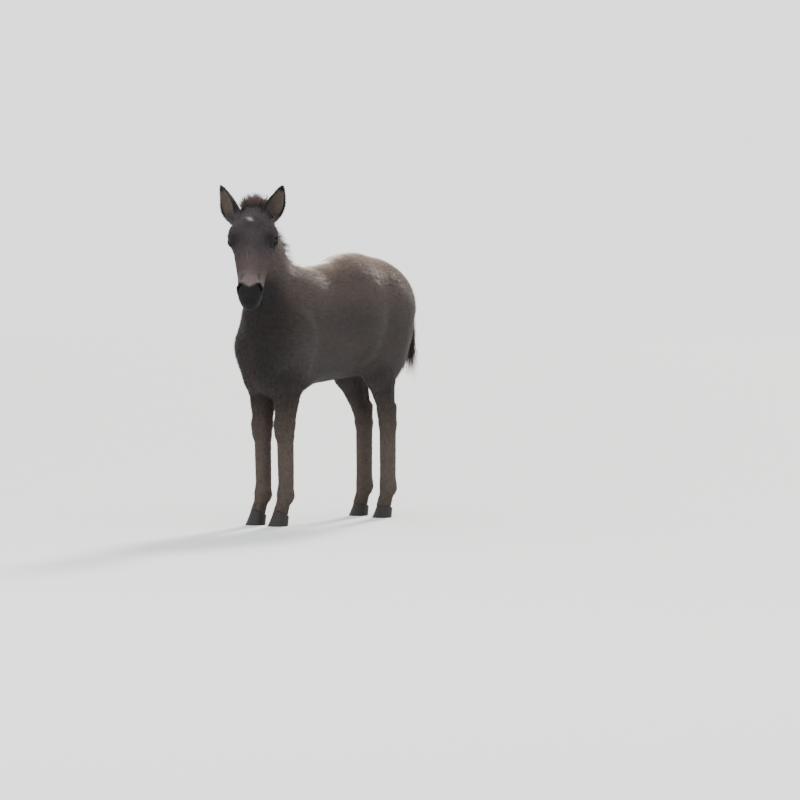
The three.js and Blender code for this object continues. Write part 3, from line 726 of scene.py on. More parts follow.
def lie_of_coat(points, normals):
    """The way in which hair lies at each point, along the skin."""
    x, y, z = points.T
    back = np.stack([np.zeros_like(x), np.ones_like(x), -0.35 - 0.5 * smoothstep(y, 150, 450)], 1)
    neck_down = np.tile([-0.1, 0.62, -0.78], (len(points), 1))
    front = smoothstep(-y, 230, 400) * (1 - headness(points))
    way = back * (1 - front)[:, None] + neck_down * front[:, None]
    low = 1 - smoothstep(z, 520, 700)
    leg = np.tile([0.0, 0.12, -1.0], (len(points), 1))
    way = way * (1 - low)[:, None] + leg * low[:, None]
    belly = smoothstep(-normals[:, 2], 0.5, 0.9) * smoothstep(z, 480, 540)
    way = way * (1 - belly)[:, None] + np.array([0, 1.0, 0])[None] * belly[:, None]
    local = to_head(points)
    from_whorl = local - WHORL
    from_whorl[:, 1] *= 0.3
    reach = np.sqrt((from_whorl**2).sum(1)) + 1e-6
    radial = from_whorl / reach[:, None]
    down = np.stack([local[:, 0] * 0.003, np.full(len(x), -0.25), np.ones(len(x))], 1)
    blend = np.clip(1 - (local[:, 2] - WHORL[2]) / 90, 0, 1)[:, None]
    facial = (radial * blend + down * (1 - blend)) @ HEAD_AXES
    head = smoothstep(headness(points), 0.35, 0.95)[:, None]
    way = way * (1 - head) + facial * head
    way = way - normals * (way * normals).sum(1)[:, None]
    return way / (np.sqrt((way**2).sum(1)) + 1e-9)[:, None]


skin_points, skin_normals = vertex_arrays(mesh)
print("lie at the back", lie_of_coat(np.array([[0.0, 100, 1070]]), np.array([[0.0, 0, 1]])).round(2))

# %% [markdown]
# ## Markings and painted light
# The foal is a mouse-black: nearly black in the depth of the coat, with grey-brown tips that are lighter
# on the upper side and the crest of the neck. Where the back and croup face up, the coat is painted lighter
# and tan, as painted sunlight from above. The muzzle is black below a pale patch between the nostrils, the
# ears are black behind and tan in the cup, and the legs are greyer.
# A small white star sits on the forehead, and where two streams of hair meet, on the flank and behind the
# shoulder, the hair is raised in a ridge with a painted highlight down it. One function gives the colour of
# any place, so skin and coat agree.

# %% Mixing colours
def linear(srgb):
    """The linear values of a colour given from 0 to 255."""
    c = np.asarray(srgb, float) / 255
    return np.where(c <= 0.04045, c / 12.92, ((c + 0.055) / 1.055) ** 2.4)


PIGMENT = 0.45  # a photo's colours hold its light as well, so the coat itself is darker


def pigment(srgb):
    return linear(srgb) * PIGMENT


def mixed(a, b, share):
    return a * (1 - share[:, None]) + b * share[:, None]


def toned(coat, share, deep, tip):
    """Depth and tips of the coat, moved towards two colours by a share of each place."""
    return mixed(coat[0], pigment(deep), share), mixed(coat[1], pigment(tip), share)


def tipped(coat, share, tip):
    """The same for the tips alone."""
    return coat[0], mixed(coat[1], pigment(tip), share)


print("a tan tip is", pigment((186, 161, 142)).round(3))

# %% [markdown]
# Each marking, and each patch of painted light and shade, is a share from 0 to 1 that is worked out from
# the place: by height, by the way the skin faces, or by the distance from a line. The two ridges are lines
# laid on the skin of the left side and mirrored.

# %% Where the markings lie
def ear_shares(points):
    """How far a place belongs to an ear, to the inside of its cup, and to its dark rim and tip."""
    ear = np.zeros(len(points))
    cup = np.zeros(len(points))
    rim = np.zeros(len(points))
    for side, turn in EARS.values():
        t, across, opened = ear_coordinates(points, side, turn)
        half = ear_half_width(t)
        radius = np.sqrt(across**2 + opened**2)
        here = (t > 0.1) & (t < 1.1) & (radius < half + 9)
        angle = np.arctan2(np.abs(across), -opened)
        edge = np.maximum(smoothstep(t, 0.78, 0.9), smoothstep(angle / ear_wrap(t), 0.86, 0.97))
        ear = np.where(here, smoothstep(t, 0.08, 0.3), ear)
        cup = np.where(here & (radius < half - ear_wall(t) * 0.5), 1.0, cup)
        rim = np.where(here, edge, rim)
    return ear, cup, rim


def polyline_distance(line, points):
    """How far points lie from a line of straight pieces."""
    best = np.full(len(points), FAR)
    for a, b in zip(line[:-1], line[1:]):
        along = b - a
        t = np.clip(((points - a) @ along) / (along @ along), 0, 1)
        best = np.minimum(best, np.sqrt(((points - a - t[:, None] * along) ** 2).sum(1)))
    return best


OUTSIDE = 260.0  # further out than any place on the left side


def on_skin(y, z):
    """Places on the skin of the left side, at lengths y and heights z, found from outside."""
    points = np.stack([np.full(len(y), OUTSIDE), y, z], 1).astype(float)
    for _ in range(60):
        d = foal_field(points)
        points[:, 0] -= np.clip(d, 0, 40) * 0.8
    return points


FLANK_RIDGE = on_skin([118, 150, 178, 196, 205, 205, 196], [640, 672, 715, 770, 830, 890, 945])
SHOULDER_RIDGE = on_skin([-222, -214, -206, -205, -215, -240, -275], [600, 640, 690, 740, 790, 835, 870])
RIDGE_WIDTH = 15


def ridges(points):
    """How far a place belongs to the ridges of flank and shoulder."""
    paired = points.copy()
    paired[:, 0] = np.abs(paired[:, 0])
    flank = np.exp(-((polyline_distance(FLANK_RIDGE, paired) / RIDGE_WIDTH) ** 2))
    shoulder = np.exp(-((polyline_distance(SHOULDER_RIDGE, paired) / RIDGE_WIDTH) ** 2))
    return np.maximum(flank, shoulder * 0.8)


print("the flank's ridge begins at", FLANK_RIDGE[0].round())

# %% [markdown]
# ## Colour of every place
# The markings and the painted light and shade are laid over each other in turn, first on the body, then on
# the face, and the two are mixed in the upper neck. Every place has two colours: one in the depth of the
# coat, one at its tips.

# %% Colours of the body
def body_colours(points, normals):
    """Colours of the trunk, neck and legs, in the depth of the coat and at its tips."""
    x, y, z = points.T
    n = len(points)
    coat = np.tile(pigment((55, 45, 41)), (n, 1)), np.tile(pigment((90, 74, 67)), (n, 1))
    upper = smoothstep(z, 810, 960)
    coat = toned(coat, upper, (82, 70, 63), (136, 117, 106))
    # painted sunlight: where the skin faces up on the back and croup, the tips turn tan and the depth
    # lighter, less over the withers
    withers = smoothstep(-y, 40, 160)
    top = smoothstep(normals[:, 2], 0.35, 0.95) * smoothstep(z, 850, 1000) * (1 - 0.5 * withers)
    coat = tipped(coat, top, (186, 161, 142))
    coat = mixed(coat[0], pigment((110, 90, 78)), top * 0.7), coat[1]
    crest = smoothstep(z, 930, 1120) * (1 - headness(points)) * smoothstep(-y, 120, 260)
    coat = toned(coat, crest * 0.8, (84, 74, 71), (150, 133, 127))
    breast = smoothstep(-y, 300, 390) * (1 - smoothstep(z, 960, 1040)) * smoothstep(z, 480, 620)
    coat = toned(coat, breast, (42, 38, 39), (78, 70, 69))
    under = (1 - smoothstep(z, 560, 720)) * smoothstep(z, 470, 540)
    coat = tipped(coat, under * 0.7, (66, 58, 55))
    # painted light and shade of skin folds on the lower neck: bands of lighter tips with darker bands
    # between, on a smooth skin
    fold_light_stripes = 0.5 + 0.5 * np.sin((z + 0.45 * np.abs(x) - 0.2 * y) / 4.1 + 1.3 * np.sin(x / 31))
    fold_light_region = breast * smoothstep(z, 700, 740) * (1 - smoothstep(z, 850, 900))
    coat = tipped(coat, fold_light_region * fold_light_stripes * 0.7, (104, 92, 88))
    middle = np.exp(-((x / 34) ** 2))
    between = smoothstep(-y, 330, 380) * middle * smoothstep(z, 530, 580) * (1 - smoothstep(z, 690, 740))
    coat = tipped(coat, between * 0.6, (122, 106, 96))
    leg = 1 - smoothstep(z, 230, 560)
    coat = toned(coat, leg, (92, 81, 74), (142, 126, 115))
    foot = 1 - smoothstep(z, 60, 150)
    coat = tipped(coat, foot, (100, 88, 80))
    # painted highlight on the ridges of raised hair: paler tips along them, less high on the body
    ridge = ridges(points) * (1 - 0.8 * smoothstep(z, 840, 920))
    return toned(coat, ridge * 0.4, (92, 85, 83), (152, 142, 138))


body_sample = np.array([[0.0, 100, 1050], [200, 100, 760]]), np.array([[0.0, 0, 1], [1, 0, 0]])
print("tips on back and rib", body_colours(*body_sample)[1].round(3))

# %% [markdown]
# On the face, painted shade darkens the socket round the eye, a pale patch ends sharply above the black
# muzzle, and painted shade draws a dark groove up from each nostril. The star lies on the slant at the
# whorl.
# The ears come last.

# %% Colours of the head
STAR_SLANT = np.array([0.8, 0.6])
STAR_LONG, STAR_WIDE = 12, 5


def star_share(v, w, u):
    """How far a place on the forehead belongs to the star."""
    along = (v - WHORL[0]) * STAR_SLANT[0] + (u - WHORL[2]) * STAR_SLANT[1]
    across = -(v - WHORL[0]) * STAR_SLANT[1] + (u - WHORL[2]) * STAR_SLANT[0]
    star = np.exp(-((along / STAR_LONG) ** 2) - (across / STAR_WIDE) ** 2) * (w > -30)
    return np.clip(star * 1.3, 0, 1)


def head_colours(points):
    """Colours of face and ears, in the depth of the coat and at its tips."""
    v, w, u = to_head(points).T
    n = len(points)
    coat = np.tile(pigment((76, 67, 70)), (n, 1)), np.tile(pigment((112, 101, 104)), (n, 1))
    lower = smoothstep(u, 150, 260)
    coat = toned(coat, lower, (100, 87, 84), (143, 126, 123))
    # painted shade in the socket round the eye
    eye_socket_shade = np.exp(-(((np.abs(v) - 70) / 26) ** 2) - ((u - 132) / 26) ** 2)
    coat = toned(coat, eye_socket_shade * 0.7, (22, 19, 20), (34, 30, 32))
    away = np.sqrt((np.abs(v) - EYE[0]) ** 2 + (w - EYE[1]) ** 2 + (u - EYE[2]) ** 2)
    coat = toned(coat, 1 - smoothstep(away, 24, 33), (40, 35, 37), (44, 39, 41))
    ring = np.exp(-(((v + 6) / 30) ** 2) - ((u - 84) / 20) ** 2)
    coat = tipped(coat, ring * 0.6, (50, 45, 48))
    pale = 0.6 * smoothstep(u, 282, 325) * (1 - smoothstep(np.abs(v), 22, 44)) * smoothstep(w, -50, -22)
    coat = toned(coat, pale, (116, 102, 98), (158, 140, 136))
    black = smoothstep(u + 0.55 * np.abs(v) - 0.1 * (w + 40), 344, 362)
    coat = toned(coat, black, (16, 15, 17), (20, 19, 22))
    # painted shade of a groove running up from each nostril, which the skin's shape doesn't have
    groove = np.exp(-(((np.abs(v) - 33 - 0.12 * (u - 300)) / 5) ** 2))
    nostril_crease_shade = groove * smoothstep(u, 284, 294) * (1 - smoothstep(u, 312, 324))
    coat = toned(coat, nostril_crease_shade * 0.6, (30, 26, 28), (40, 35, 38))
    star = star_share(v, w, u)
    coat = mixed(coat[0], linear((120, 110, 106)), star), mixed(coat[1], linear((150, 140, 136)), star)
    ear, cup, rim = ear_shares(points)
    coat = toned(coat, ear, (26, 23, 26), (48, 43, 48))
    coat = toned(coat, ear * cup, (104, 88, 80), (156, 136, 126))
    return toned(coat, ear * rim, (20, 18, 20), (30, 27, 31))


def coat_colours(points, normals):
    """Colours of any place, in the depth of the coat and at its tips, linear."""
    head = smoothstep(headness(points), 0.45, 0.95)
    body, face = body_colours(points, normals), head_colours(points)
    return mixed(body[0], face[0], head), mixed(body[1], face[1], head)


print("tip on the forehead", head_colours(from_head([[0, -2, 100]]))[1].round(3))

# %% [markdown]
# The skin shows between the tufts, so it takes mostly the colour of the coat's depth on the head and legs,
# where the hair is short, and less of it on the trunk. On the bare muzzle it takes mostly that of the tips.

# %% Paint the skin
def paint(mesh, colours):
    """Colours, four values each, as the mesh's attribute coat."""
    layer = mesh.color_attributes.new("coat", "FLOAT_COLOR", "POINT")
    layer.data.foreach_set("color", colours.ravel())


skin_deep, skin_tip = coat_colours(skin_points, skin_normals)
bare = smoothstep(to_head(skin_points)[:, 2], 340, 356) * headness(skin_points)
short_haired = np.maximum(headness(skin_points), 1 - smoothstep(skin_points[:, 2], 380, 640))
depth_share = (0.45 + 0.35 * short_haired)[:, None]  # how much of the skin shows as the coat's depth
haired_skin = skin_deep * depth_share + skin_tip * (1 - depth_share)
skin_colours = mixed(haired_skin, skin_deep * 0.3 + skin_tip * 0.7, bare)
paint(mesh, np.concatenate([skin_colours, np.ones((len(skin_colours), 1))], 1))
print("mean coat colour", skin_tip.mean(0).round(3))

# %% [markdown]
# ## Finishes
# The coat is rough with a soft sheen, because fine hair scatters light at grazing angles. A noise makes its
# colour a little uneven. The skin below carries a fine bump that stands for the shortest hair.

# %% Materials
def principled(name, **values):
    """A material, its nodes and its shader, with the shader's inputs set."""
    material = bpy.data.materials.new(name)
    material.use_nodes = True
    shader = material.node_tree.nodes["Principled BSDF"]
    for key, value in values.items():
        shader.inputs[key.replace("_", " ")].default_value = value
    return material, material.node_tree, shader


def coloured_by_coat(tree, shader, strength, scale):
    """The attribute coat as base colour, made uneven by a noise of some strength and scale."""
    attribute = tree.nodes.new("ShaderNodeAttribute")
    attribute.attribute_name = "coat"
    coordinates = tree.nodes.new("ShaderNodeTexCoord")
    noise = tree.nodes.new("ShaderNodeTexNoise")
    noise.inputs["Scale"].default_value = scale
    noise.inputs["Detail"].default_value = 4
    tree.links.new(coordinates.outputs["Object"], noise.inputs["Vector"])
    ramp = tree.nodes.new("ShaderNodeMapRange")
    ramp.inputs["To Min"].default_value = 1 - strength
    ramp.inputs["To Max"].default_value = 1 + strength
    tree.links.new(noise.outputs["Fac"], ramp.inputs["Value"])
    scaled = tree.nodes.new("ShaderNodeVectorMath")
    scaled.operation = "SCALE"
    tree.links.new(attribute.outputs["Color"], scaled.inputs[0])
    tree.links.new(ramp.outputs["Result"], scaled.inputs["Scale"])
    tree.links.new(scaled.outputs["Vector"], shader.inputs["Base Color"])
    return coordinates


skin_material, tree, shader = principled("skin", Roughness=0.75, Sheen_Weight=0.04, Sheen_Roughness=0.5)
shader.inputs["Specular IOR Level"].default_value = 0.15
coordinates = coloured_by_coat(tree, shader, 0.25, 90)
grain = tree.nodes.new("ShaderNodeTexNoise")
grain.inputs["Scale"].default_value = 900
tree.links.new(coordinates.outputs["Object"], grain.inputs["Vector"])
bump = tree.nodes.new("ShaderNodeBump")
bump.inputs["Strength"].default_value = 0.35
bump.inputs["Distance"].default_value = 0.0006
tree.links.new(grain.outputs["Fac"], bump.inputs["Height"])
tree.links.new(bump.outputs["Normal"], shader.inputs["Normal"])

sheen = {"Sheen_Weight": 0.06, "Sheen_Roughness": 0.45}
hair_material, tree, shader = principled("coat_hair", Roughness=0.5, **sheen)
shader.inputs["Specular IOR Level"].default_value = 0.22
coloured_by_coat(tree, shader, 0.22, 25)

skin.data.materials.append(skin_material)
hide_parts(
    "torso", "neck", "head", "ear_left", "ear_right", "tail",
    "foreleg_left", "foreleg_right", "hindleg_left", "hindleg_right",
)
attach(skin, "root")
print("finishes", skin_material.name, hair_material.name)

# %% [markdown]
# ## Tufts
# Fur is dense and even, so tufts start at random places, each face of the skin drawn by its area. Blender
# can scatter too, with a particle system or nodes, but the library's parts are plain meshes, so the tufts
# are meshes from the start.

# %% Places for tufts
def scatter(triangles, weights, count):
    """Random places on the skin: barycentric points in triangles drawn by weight."""
    chosen = rng.choice(len(triangles), count, p=weights / weights.sum())
    a, b = np.sqrt(rng.random(count)), rng.random(count)
    shares = np.stack([1 - a, a * (1 - b), a * b], 1)
    corners = triangles[chosen]
    points = (skin_points[corners] * shares[:, :, None]).sum(1)
    normals = (skin_normals[corners] * shares[:, :, None]).sum(1)
    return points, normals / np.sqrt((normals**2).sum(1))[:, None]


corner_index = np.empty(len(mesh.loops), np.int32)
mesh.loops.foreach_get("vertex_index", corner_index)
triangles = corner_index.reshape(-1, 3)
corners = skin_points[triangles]
areas = np.sqrt((np.cross(corners[:, 1] - corners[:, 0], corners[:, 2] - corners[:, 0]) ** 2).sum(1)) / 2
centres = corners.mean(1)
print("skin area", round(areas.sum() / 1e6, 2), "square metres")

# %% [markdown]
# A tuft of the short coat is a thin three-sided blade that leaves the skin at a low angle. Longer hair
# has more segments and bends back to the body. All the tufts of one part of the body are one mesh made
# from arrays, because an operator call for each of four hundred thousand tufts would be far too slow.

# %% Blades
SECTION = ((1.0, -0.25), (-1.0, -0.25), (0.0, 0.5))  # corners of a blade's section, aside and out
PATCH_WIDTH, PATCH_HEIGHT = 0.003, 0.0028  # of one tuft in the map


def blade_faces(rings):
    """Faces of one blade: rings of three points each, closed by a tip."""
    faces = []
    for ring in range(rings - 1):
        for s in range(3):
            a, b = ring * 3 + s, ring * 3 + (s + 1) % 3
            faces += [(a, b, b + 3), (a, b + 3, a + 3)]
    top = (rings - 1) * 3
    return np.array(faces + [(top + s, top + (s + 1) % 3, top + 3) for s in range(3)])


def mesh_from_arrays(name, points, faces):
    """A smooth mesh of triangles from points in millimetres in the anatomical frame."""
    mesh = bpy.data.meshes.new(name)
    mesh.vertices.add(len(points))
    mesh.vertices.foreach_set("co", ((points + shift) / 1000).ravel())
    mesh.loops.add(len(faces) * 3)
    mesh.loops.foreach_set("vertex_index", faces.ravel())
    mesh.polygons.add(len(faces))
    mesh.polygons.foreach_set("loop_start", np.arange(0, len(faces) * 3, 3))
    mesh.update(calc_edges=True)
    mesh.polygons.foreach_set("use_smooth", np.ones(len(faces), bool))
    return mesh


def make_blades(name, roots, ways, outs, lengths, widths, droop, deep, tips, spots, rings, wave=0.0):
    """One mesh of tapered three-sided blades, one for each root."""
    n = len(roots)
    side = np.cross(ways, outs)
    side /= np.sqrt((side**2).sum(1))[:, None] + 1e-9
    face = np.cross(side, ways)
    count = rings * 3 + 1
    points = np.empty((n, count, 3))
    colours = np.ones((n, count, 4))
    phase = rng.random(n) * 6.28
    for ring in range(rings + 1):
        t = ring / rings
        centre = roots + ways * (lengths * t)[:, None] - outs * (droop * lengths * t * t)[:, None]
        if wave:
            centre = centre + side * (np.sin(phase + t * 7) * lengths * wave * t)[:, None]
            centre = centre + face * (np.cos(phase * 1.7 + t * 6) * lengths * wave * 0.6 * t)[:, None]
        colour = deep * (1 - t**0.8) + tips * t**0.8
        if ring == rings:
            points[:, -1] = centre
            colours[:, -1, :3] = colour
            continue
        half = widths * 0.5 * (1 - 0.55 * t)
        for corner, (s, f) in enumerate(SECTION):
            points[:, ring * 3 + corner] = centre + side * (half * s)[:, None] + face * (half * f)[:, None]
            colours[:, ring * 3 + corner, :3] = colour
    faces = (np.arange(n)[:, None, None] * count + blade_faces(rings)[None]).reshape(-1, 3)
    mesh = mesh_from_arrays(name, points.reshape(-1, 3), faces)
    paint(mesh, colours)
    patch = [(s * PATCH_WIDTH / 2, r * PATCH_HEIGHT / rings) for r in range(rings) for s in range(3)]
    patch = np.array(patch + [(PATCH_WIDTH / 2, PATCH_HEIGHT)])
    uv = (spots[:, None] + patch[None]).reshape(-1, 2)[faces.ravel()]
    mesh.uv_layers.new(name="OFBake").data.foreach_set("uv", uv.ravel())
    mesh.materials.append(hair_material)
    obj = new_object(name, mesh)
    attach(obj, "root")
    return len(faces)


print("faces of a blade", len(blade_faces(1)), "and of a strand of four rings", len(blade_faces(4)))

# %% [markdown]
# Every tuft of the short coat has its own small patch in the map named OFBake, at its root's place on an
# unwrap of its part of the body. A limb or the trunk is nearly a tube, so the unwrap rolls a tube flat.

# %% Unwrap for the map
def unwrap(points, centre, axis):
    """Places on a tube unrolled round an axis: how far along, and the angle round it."""
    axis = np.asarray(axis, float) / np.linalg.norm(axis)
    q = points - np.asarray(centre, float)
    along = q @ axis
    side = np.cross(axis, [0.31, 0.2, 0.93])
    side /= np.linalg.norm(side)
    angle = np.arctan2(q @ np.cross(axis, side), q @ side)
    low, high = along.min(), along.max()
    u = 0.004 + 0.99 * (along - low) / (high - low + 1e-6)
    v = 0.004 + 0.99 * (angle / math.tau + 0.5)
    return np.stack([u, v], 1)


print("middle of the unwrap", unwrap(skin_points, skin_points.mean(0), (0, 1, 0)).mean(0).round(2))

# %% [markdown]
# ## The coat, part by part
# Each part has its own count, length, width and lift of tufts. They are longest on the trunk, shorter down
# the legs and shortest on face and ears. The end of the nose and the lids stay bare.

# %% Parts of the coat
head_share = headness(centres)
centre_local = to_head(centres)
centre_ear, _, _ = ear_shares(centres)
LEG_TOP, NOSE_END = 470, 392  # height of the legs' coat, and where the bare end of the nose begins
BARREL_START, FLANK_START, HAUNCH_START = -180, 60, 270  # along the body
length_place = centres[:, 1]
is_head = head_share > 0.5
is_leg = (centres[:, 2] < LEG_TOP) & ~is_head
is_trunk = ~is_head & ~is_leg
is_barrel = is_trunk & (length_place >= BARREL_START) & (length_place < FLANK_START)
is_flank = is_trunk & (length_place >= FLANK_START) & (length_place < HAUNCH_START)
bare_face = (centre_local[:, 2] > NOSE_END) | near_eyes(centres, 23)
PARTS = {
    # faces of the part, tufts, length, width, lift and jitter in degrees, axis of the unwrap
    "coat_shoulder": (is_trunk & (length_place < BARREL_START), 62000, 21, 2.0, 21, 13, (0, -0.6, 0.8)),
    "coat_barrel": (is_barrel, 56000, 20, 2.0, 19, 12, (0, 1, 0)),
    "coat_flank": (is_flank, 56000, 20, 2.0, 19, 12, (0, 1, 0)),
    "coat_haunch": (is_trunk & (length_place >= HAUNCH_START), 60000, 21, 2.0, 21, 13, (0, 0.3, 1)),
    "coat_head": (is_head & (centre_ear < 0.5), 64000, 9, 1.1, 14, 9, tuple(DOWN_FACE)),
    "coat_ears": (is_head & (centre_ear >= 0.5), 30000, 8, 1.0, 26, 16, (0, 0, 1)),
    "coat_forelegs": (is_leg & (length_place < 0), 34000, 21, 1.4, 17, 9, (0, 0, 1)),
    "coat_hindlegs": (is_leg & (length_place >= 0), 34000, 21, 1.4, 17, 9, (0, 0, 1)),
}
print({name: int(part[0].sum()) for name, part in PARTS.items()}, "faces of the skin")

# %% [markdown]
# Each tuft follows the lie of the coat, turned and raised by a little chance, and each has its own length,
# width and shade. So the coat looks combed, but not printed.

# %% Grow the coat
ROOT_DEPTH = 0.8  # of a tuft's root below the skin
share = 1.0
total = 0
for name, (members, count, length, width, lift, jitter, axis) in PARTS.items():
    weight = np.where(members & ~(bare_face & is_head), areas, 0)
    count = int(count * share)
    width = width / math.sqrt(share)
    roots, normals = scatter(triangles, weight, count)
    lie = lie_of_coat(roots, normals)
    turned = np.radians(rng.normal(0, jitter, count))
    side = np.cross(normals, lie)
    lie = lie * np.cos(turned)[:, None] + side * np.sin(turned)[:, None]
    raised = np.radians(lift * (0.75 + 0.5 * rng.random(count)) * (1 + 0.2 * ridges(roots)))
    way = lie * np.cos(raised)[:, None] + normals * np.sin(raised)[:, None]
    lengths = length * (0.7 + 0.6 * rng.random(count))
    if name == "coat_head":
        u = to_head(roots)[:, 2]
        lengths *= 1.1 - 0.75 * smoothstep(u, 230, 360)
    if name not in ("coat_head", "coat_ears"):
        lengths *= 0.42 + 0.58 * smoothstep(roots[:, 2], 380, 640)
    if name == "coat_shoulder":
        lengths *= 1 - 0.6 * smoothstep(headness(roots), 0.0, 0.5)
    deep, tip = coat_colours(roots, normals)
    shade = (0.82 + 0.36 * rng.random(count))[:, None]
    spots = unwrap(roots, roots.mean(0), axis)
    widths = width * (0.8 + 0.4 * rng.random(count))
    sunk = roots - normals * ROOT_DEPTH
    made = make_blades(name, sunk, way, normals, lengths, widths, 0.0, deep * shade, tip * shade, spots, 1)
    total += made
    print(name, count, "tufts", made, "triangles")
print("short coat", total, "triangles", clock())

# %% [markdown]
# ## Forelock, mane and tail
# A foal's longer hair is soft and curly. It grows in locks, and each lock here is a bundle of fine wavy
# strands that start together, spread and taper. In the map OFBake their patches are laid out by lock and
# strand.

# %% Strands
def surface_out(starts, ways):
    """Where straight ways from inside the body meet the skin."""
    points = np.array(starts, float)
    for _ in range(90):
        inside = foal_field(points) < 0
        if not inside.any():
            break
        points[inside] += ways[inside] * 2.5
    return points


def strands(
    name, roots, ways, outs, lengths, per_lock, spread, width, droop, deep, tips, rings, wave, loose=0.13,
):
    """Locks of wavy strands: per_lock of them round each root, and how many triangles they have."""
    n = len(roots)
    rep = np.repeat(np.arange(n), per_lock)
    m = len(rep)
    offset = rng.normal(0, spread, (m, 3))
    way = ways[rep] + rng.normal(0, loose, (m, 3))
    way /= np.sqrt((way**2).sum(1))[:, None]
    shade = (0.7 + 0.6 * rng.random(m))[:, None]
    spots = np.stack([0.02 + 0.95 * rep / n, 0.02 + 0.95 * (np.arange(m) % per_lock) / per_lock], 1)
    return make_blades(
        name, roots[rep] + offset, way, outs[rep], lengths[rep] * (0.7 + 0.45 * rng.random(m)),
        width * (0.8 + 0.5 * rng.random(m)), droop, deep * shade, tips * shade, spots, rings, wave,
    )


def units(vectors):
    return vectors / np.sqrt((vectors**2).sum(1))[:, None]


print("a way of length one", units(np.array([[3.0, 0, 4]])))

# %% [markdown]
# The forelock stands up between the ears like a small brush. Its locks fan out from a strip on the poll,
# the foremost ones leaning forward.

# %% Forelock
locks = 90
across = rng.uniform(-34, 34, locks)
back = rng.uniform(-8, 46, locks)
inside = from_head(np.stack([across * 0.9, -70 - back * 0.3, 40 - back], 1))
ways = units(UP + HEAD_LEFT * (across / 130)[:, None] + FACING * (0.3 - back / 90)[:, None])
roots = surface_out(inside, ways) - ways * 3
lengths = rng.uniform(38, 58, locks) * (1 - 0.3 * np.abs(across) / 34)
outs = np.tile(FACING * 0.6 + UP * 0.1, (locks, 1))
forelock_colours = pigment((40, 33, 36)), pigment((138, 112, 104))
total += strands(
    "forelock", roots, ways + rng.normal(0, 0.1, (locks, 3)), outs, lengths, 17, 3.0, 1.3, -0.15,
    *forelock_colours, 4, 0.1,
)
print("forelock of", locks, "locks")

# %% [markdown]
# The mane of a foal is short and lies back and down along the crest. Its roots follow a smooth curve from
# the withers to the poll, inside the neck, and each lock grows out to where its way meets the skin.

# %% Mane
locks = 170
t = rng.uniform(0.05, 0.98, locks)[:, None]
aside = rng.normal(0, 0.16, locks)[:, None]
base, middle, top = np.array([0, -165, 930.0]), np.array([12, -330, 1030.0]), np.array([56, -448, 1165.0])
inside = base * (1 - t) ** 2 + middle * 2 * t * (1 - t) + top * t * t
ways = units(np.concatenate([aside, 0.72 - 0.2 * t, 0.7 + 0.2 * t], 1))
roots = surface_out(inside, ways) - ways * 3
lie = np.concatenate([-0.15 + aside * 1.4, np.full_like(t, 0.76), np.full_like(t, -0.62)], 1)
mane_ways = ways * 0.62 + lie * 0.8 + rng.normal(0, 0.1, (locks, 3))
mane_colours = pigment((58, 48, 46)), pigment((150, 130, 116))
total += strands(
    "mane", roots, mane_ways, ways, rng.uniform(42, 60, locks), 16, 3.2, 1.25, 0.28, *mane_colours, 4, 0.11,
)
print("mane of", locks, "locks")

# %% [markdown]
# The tail hangs close behind the thighs. Its locks start round the dock, more of them behind than before,
# and none reaches below the hocks.

# %% Tail hair
TAIL_LOCKS, TAIL_END = 190, 570  # and about the lowest height of their tips
dock = np.array([(0, 486, 958), (4, 530, 905), (8, 540, 835), (11, 530, 780)], float)
roots, ways, outs, lengths = [], [], [], []
for _ in range(TAIL_LOCKS):
    t = rng.uniform(0.0, 2.98)
    k = int(t)
    centre = dock[k] * (1 - t + k) + dock[k + 1] * (t - k)
    angle = rng.uniform(-0.6, math.pi + 0.6)
    out = np.array([math.cos(angle), max(math.sin(angle), -0.2), 0.0])
    out /= np.linalg.norm(out)
    roots.append(centre + out * (14 - 3 * k))
    ways.append(np.array([out[0] * 0.2, out[1] * 0.03, -1.0]) + rng.normal(0, 0.03, 3))
    outs.append(np.array([out[0] * 0.4, 1.0, 0]) / 1.1)
    lengths.append(min(rng.uniform(120, 215), centre[2] - TAIL_END))
tail_colours = pigment((44, 38, 38)), pigment((112, 98, 92))
total += strands(
    "tail_hair", np.array(roots), np.array(ways), np.array(outs), np.array(lengths), 15, 4.0, 1.9, 0.16,
    *tail_colours, 6, 0.045, 0.06,
)
print("all hair", total, "triangles", clock())

# %% [markdown]
# ## Eyes
# Each eye is a ball a little deeper than its lids. A foal's iris is so dark that it can't be told from the
# pupil some metres off, so the whole ball has one near-black finish under a thin clear coat.

# %% Eyes
for name, side in (("left", 1), ("right", -1)):
    bm = bmesh.new()
    bmesh.ops.create_uvsphere(bm, u_segments=40, v_segments=24, radius=EYE_RADIUS / 1000)
    centre = (from_head(EYE * (side, 1, 1)) + shift) / 1000
    for vertex in bm.verts:
        vertex.co = vertex.co + type(vertex.co)(centre)
    for face in bm.faces:
        face.smooth = True
    mesh = bpy.data.meshes.new(f"eyeball_{name}")
    bm.to_mesh(mesh)
    bm.free()
    wet = {"Coat_Weight": 0.08, "Coat_Roughness": 0.05}
    material, tree, shader = principled(f"eye_{name}", Roughness=0.25, **wet)
    shader.inputs["Specular IOR Level"].default_value = 0.08
    shader.inputs["Base Color"].default_value = (0.0025, 0.0018, 0.0014, 1)
    mesh.materials.append(material)
    ball = new_object(f"eyeball_{name}", mesh)
    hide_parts(f"eye_{name}")
    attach(ball, "root")
print("right eye at", centre.round(3))

# %% [markdown]
# ## Hooves
# A foal's hoof is a short dark cone of horn, upright at the heel and sloping at the toe, with faint
# growth rings. Horn is dull, and bands across its height stand for the rings in its colour.

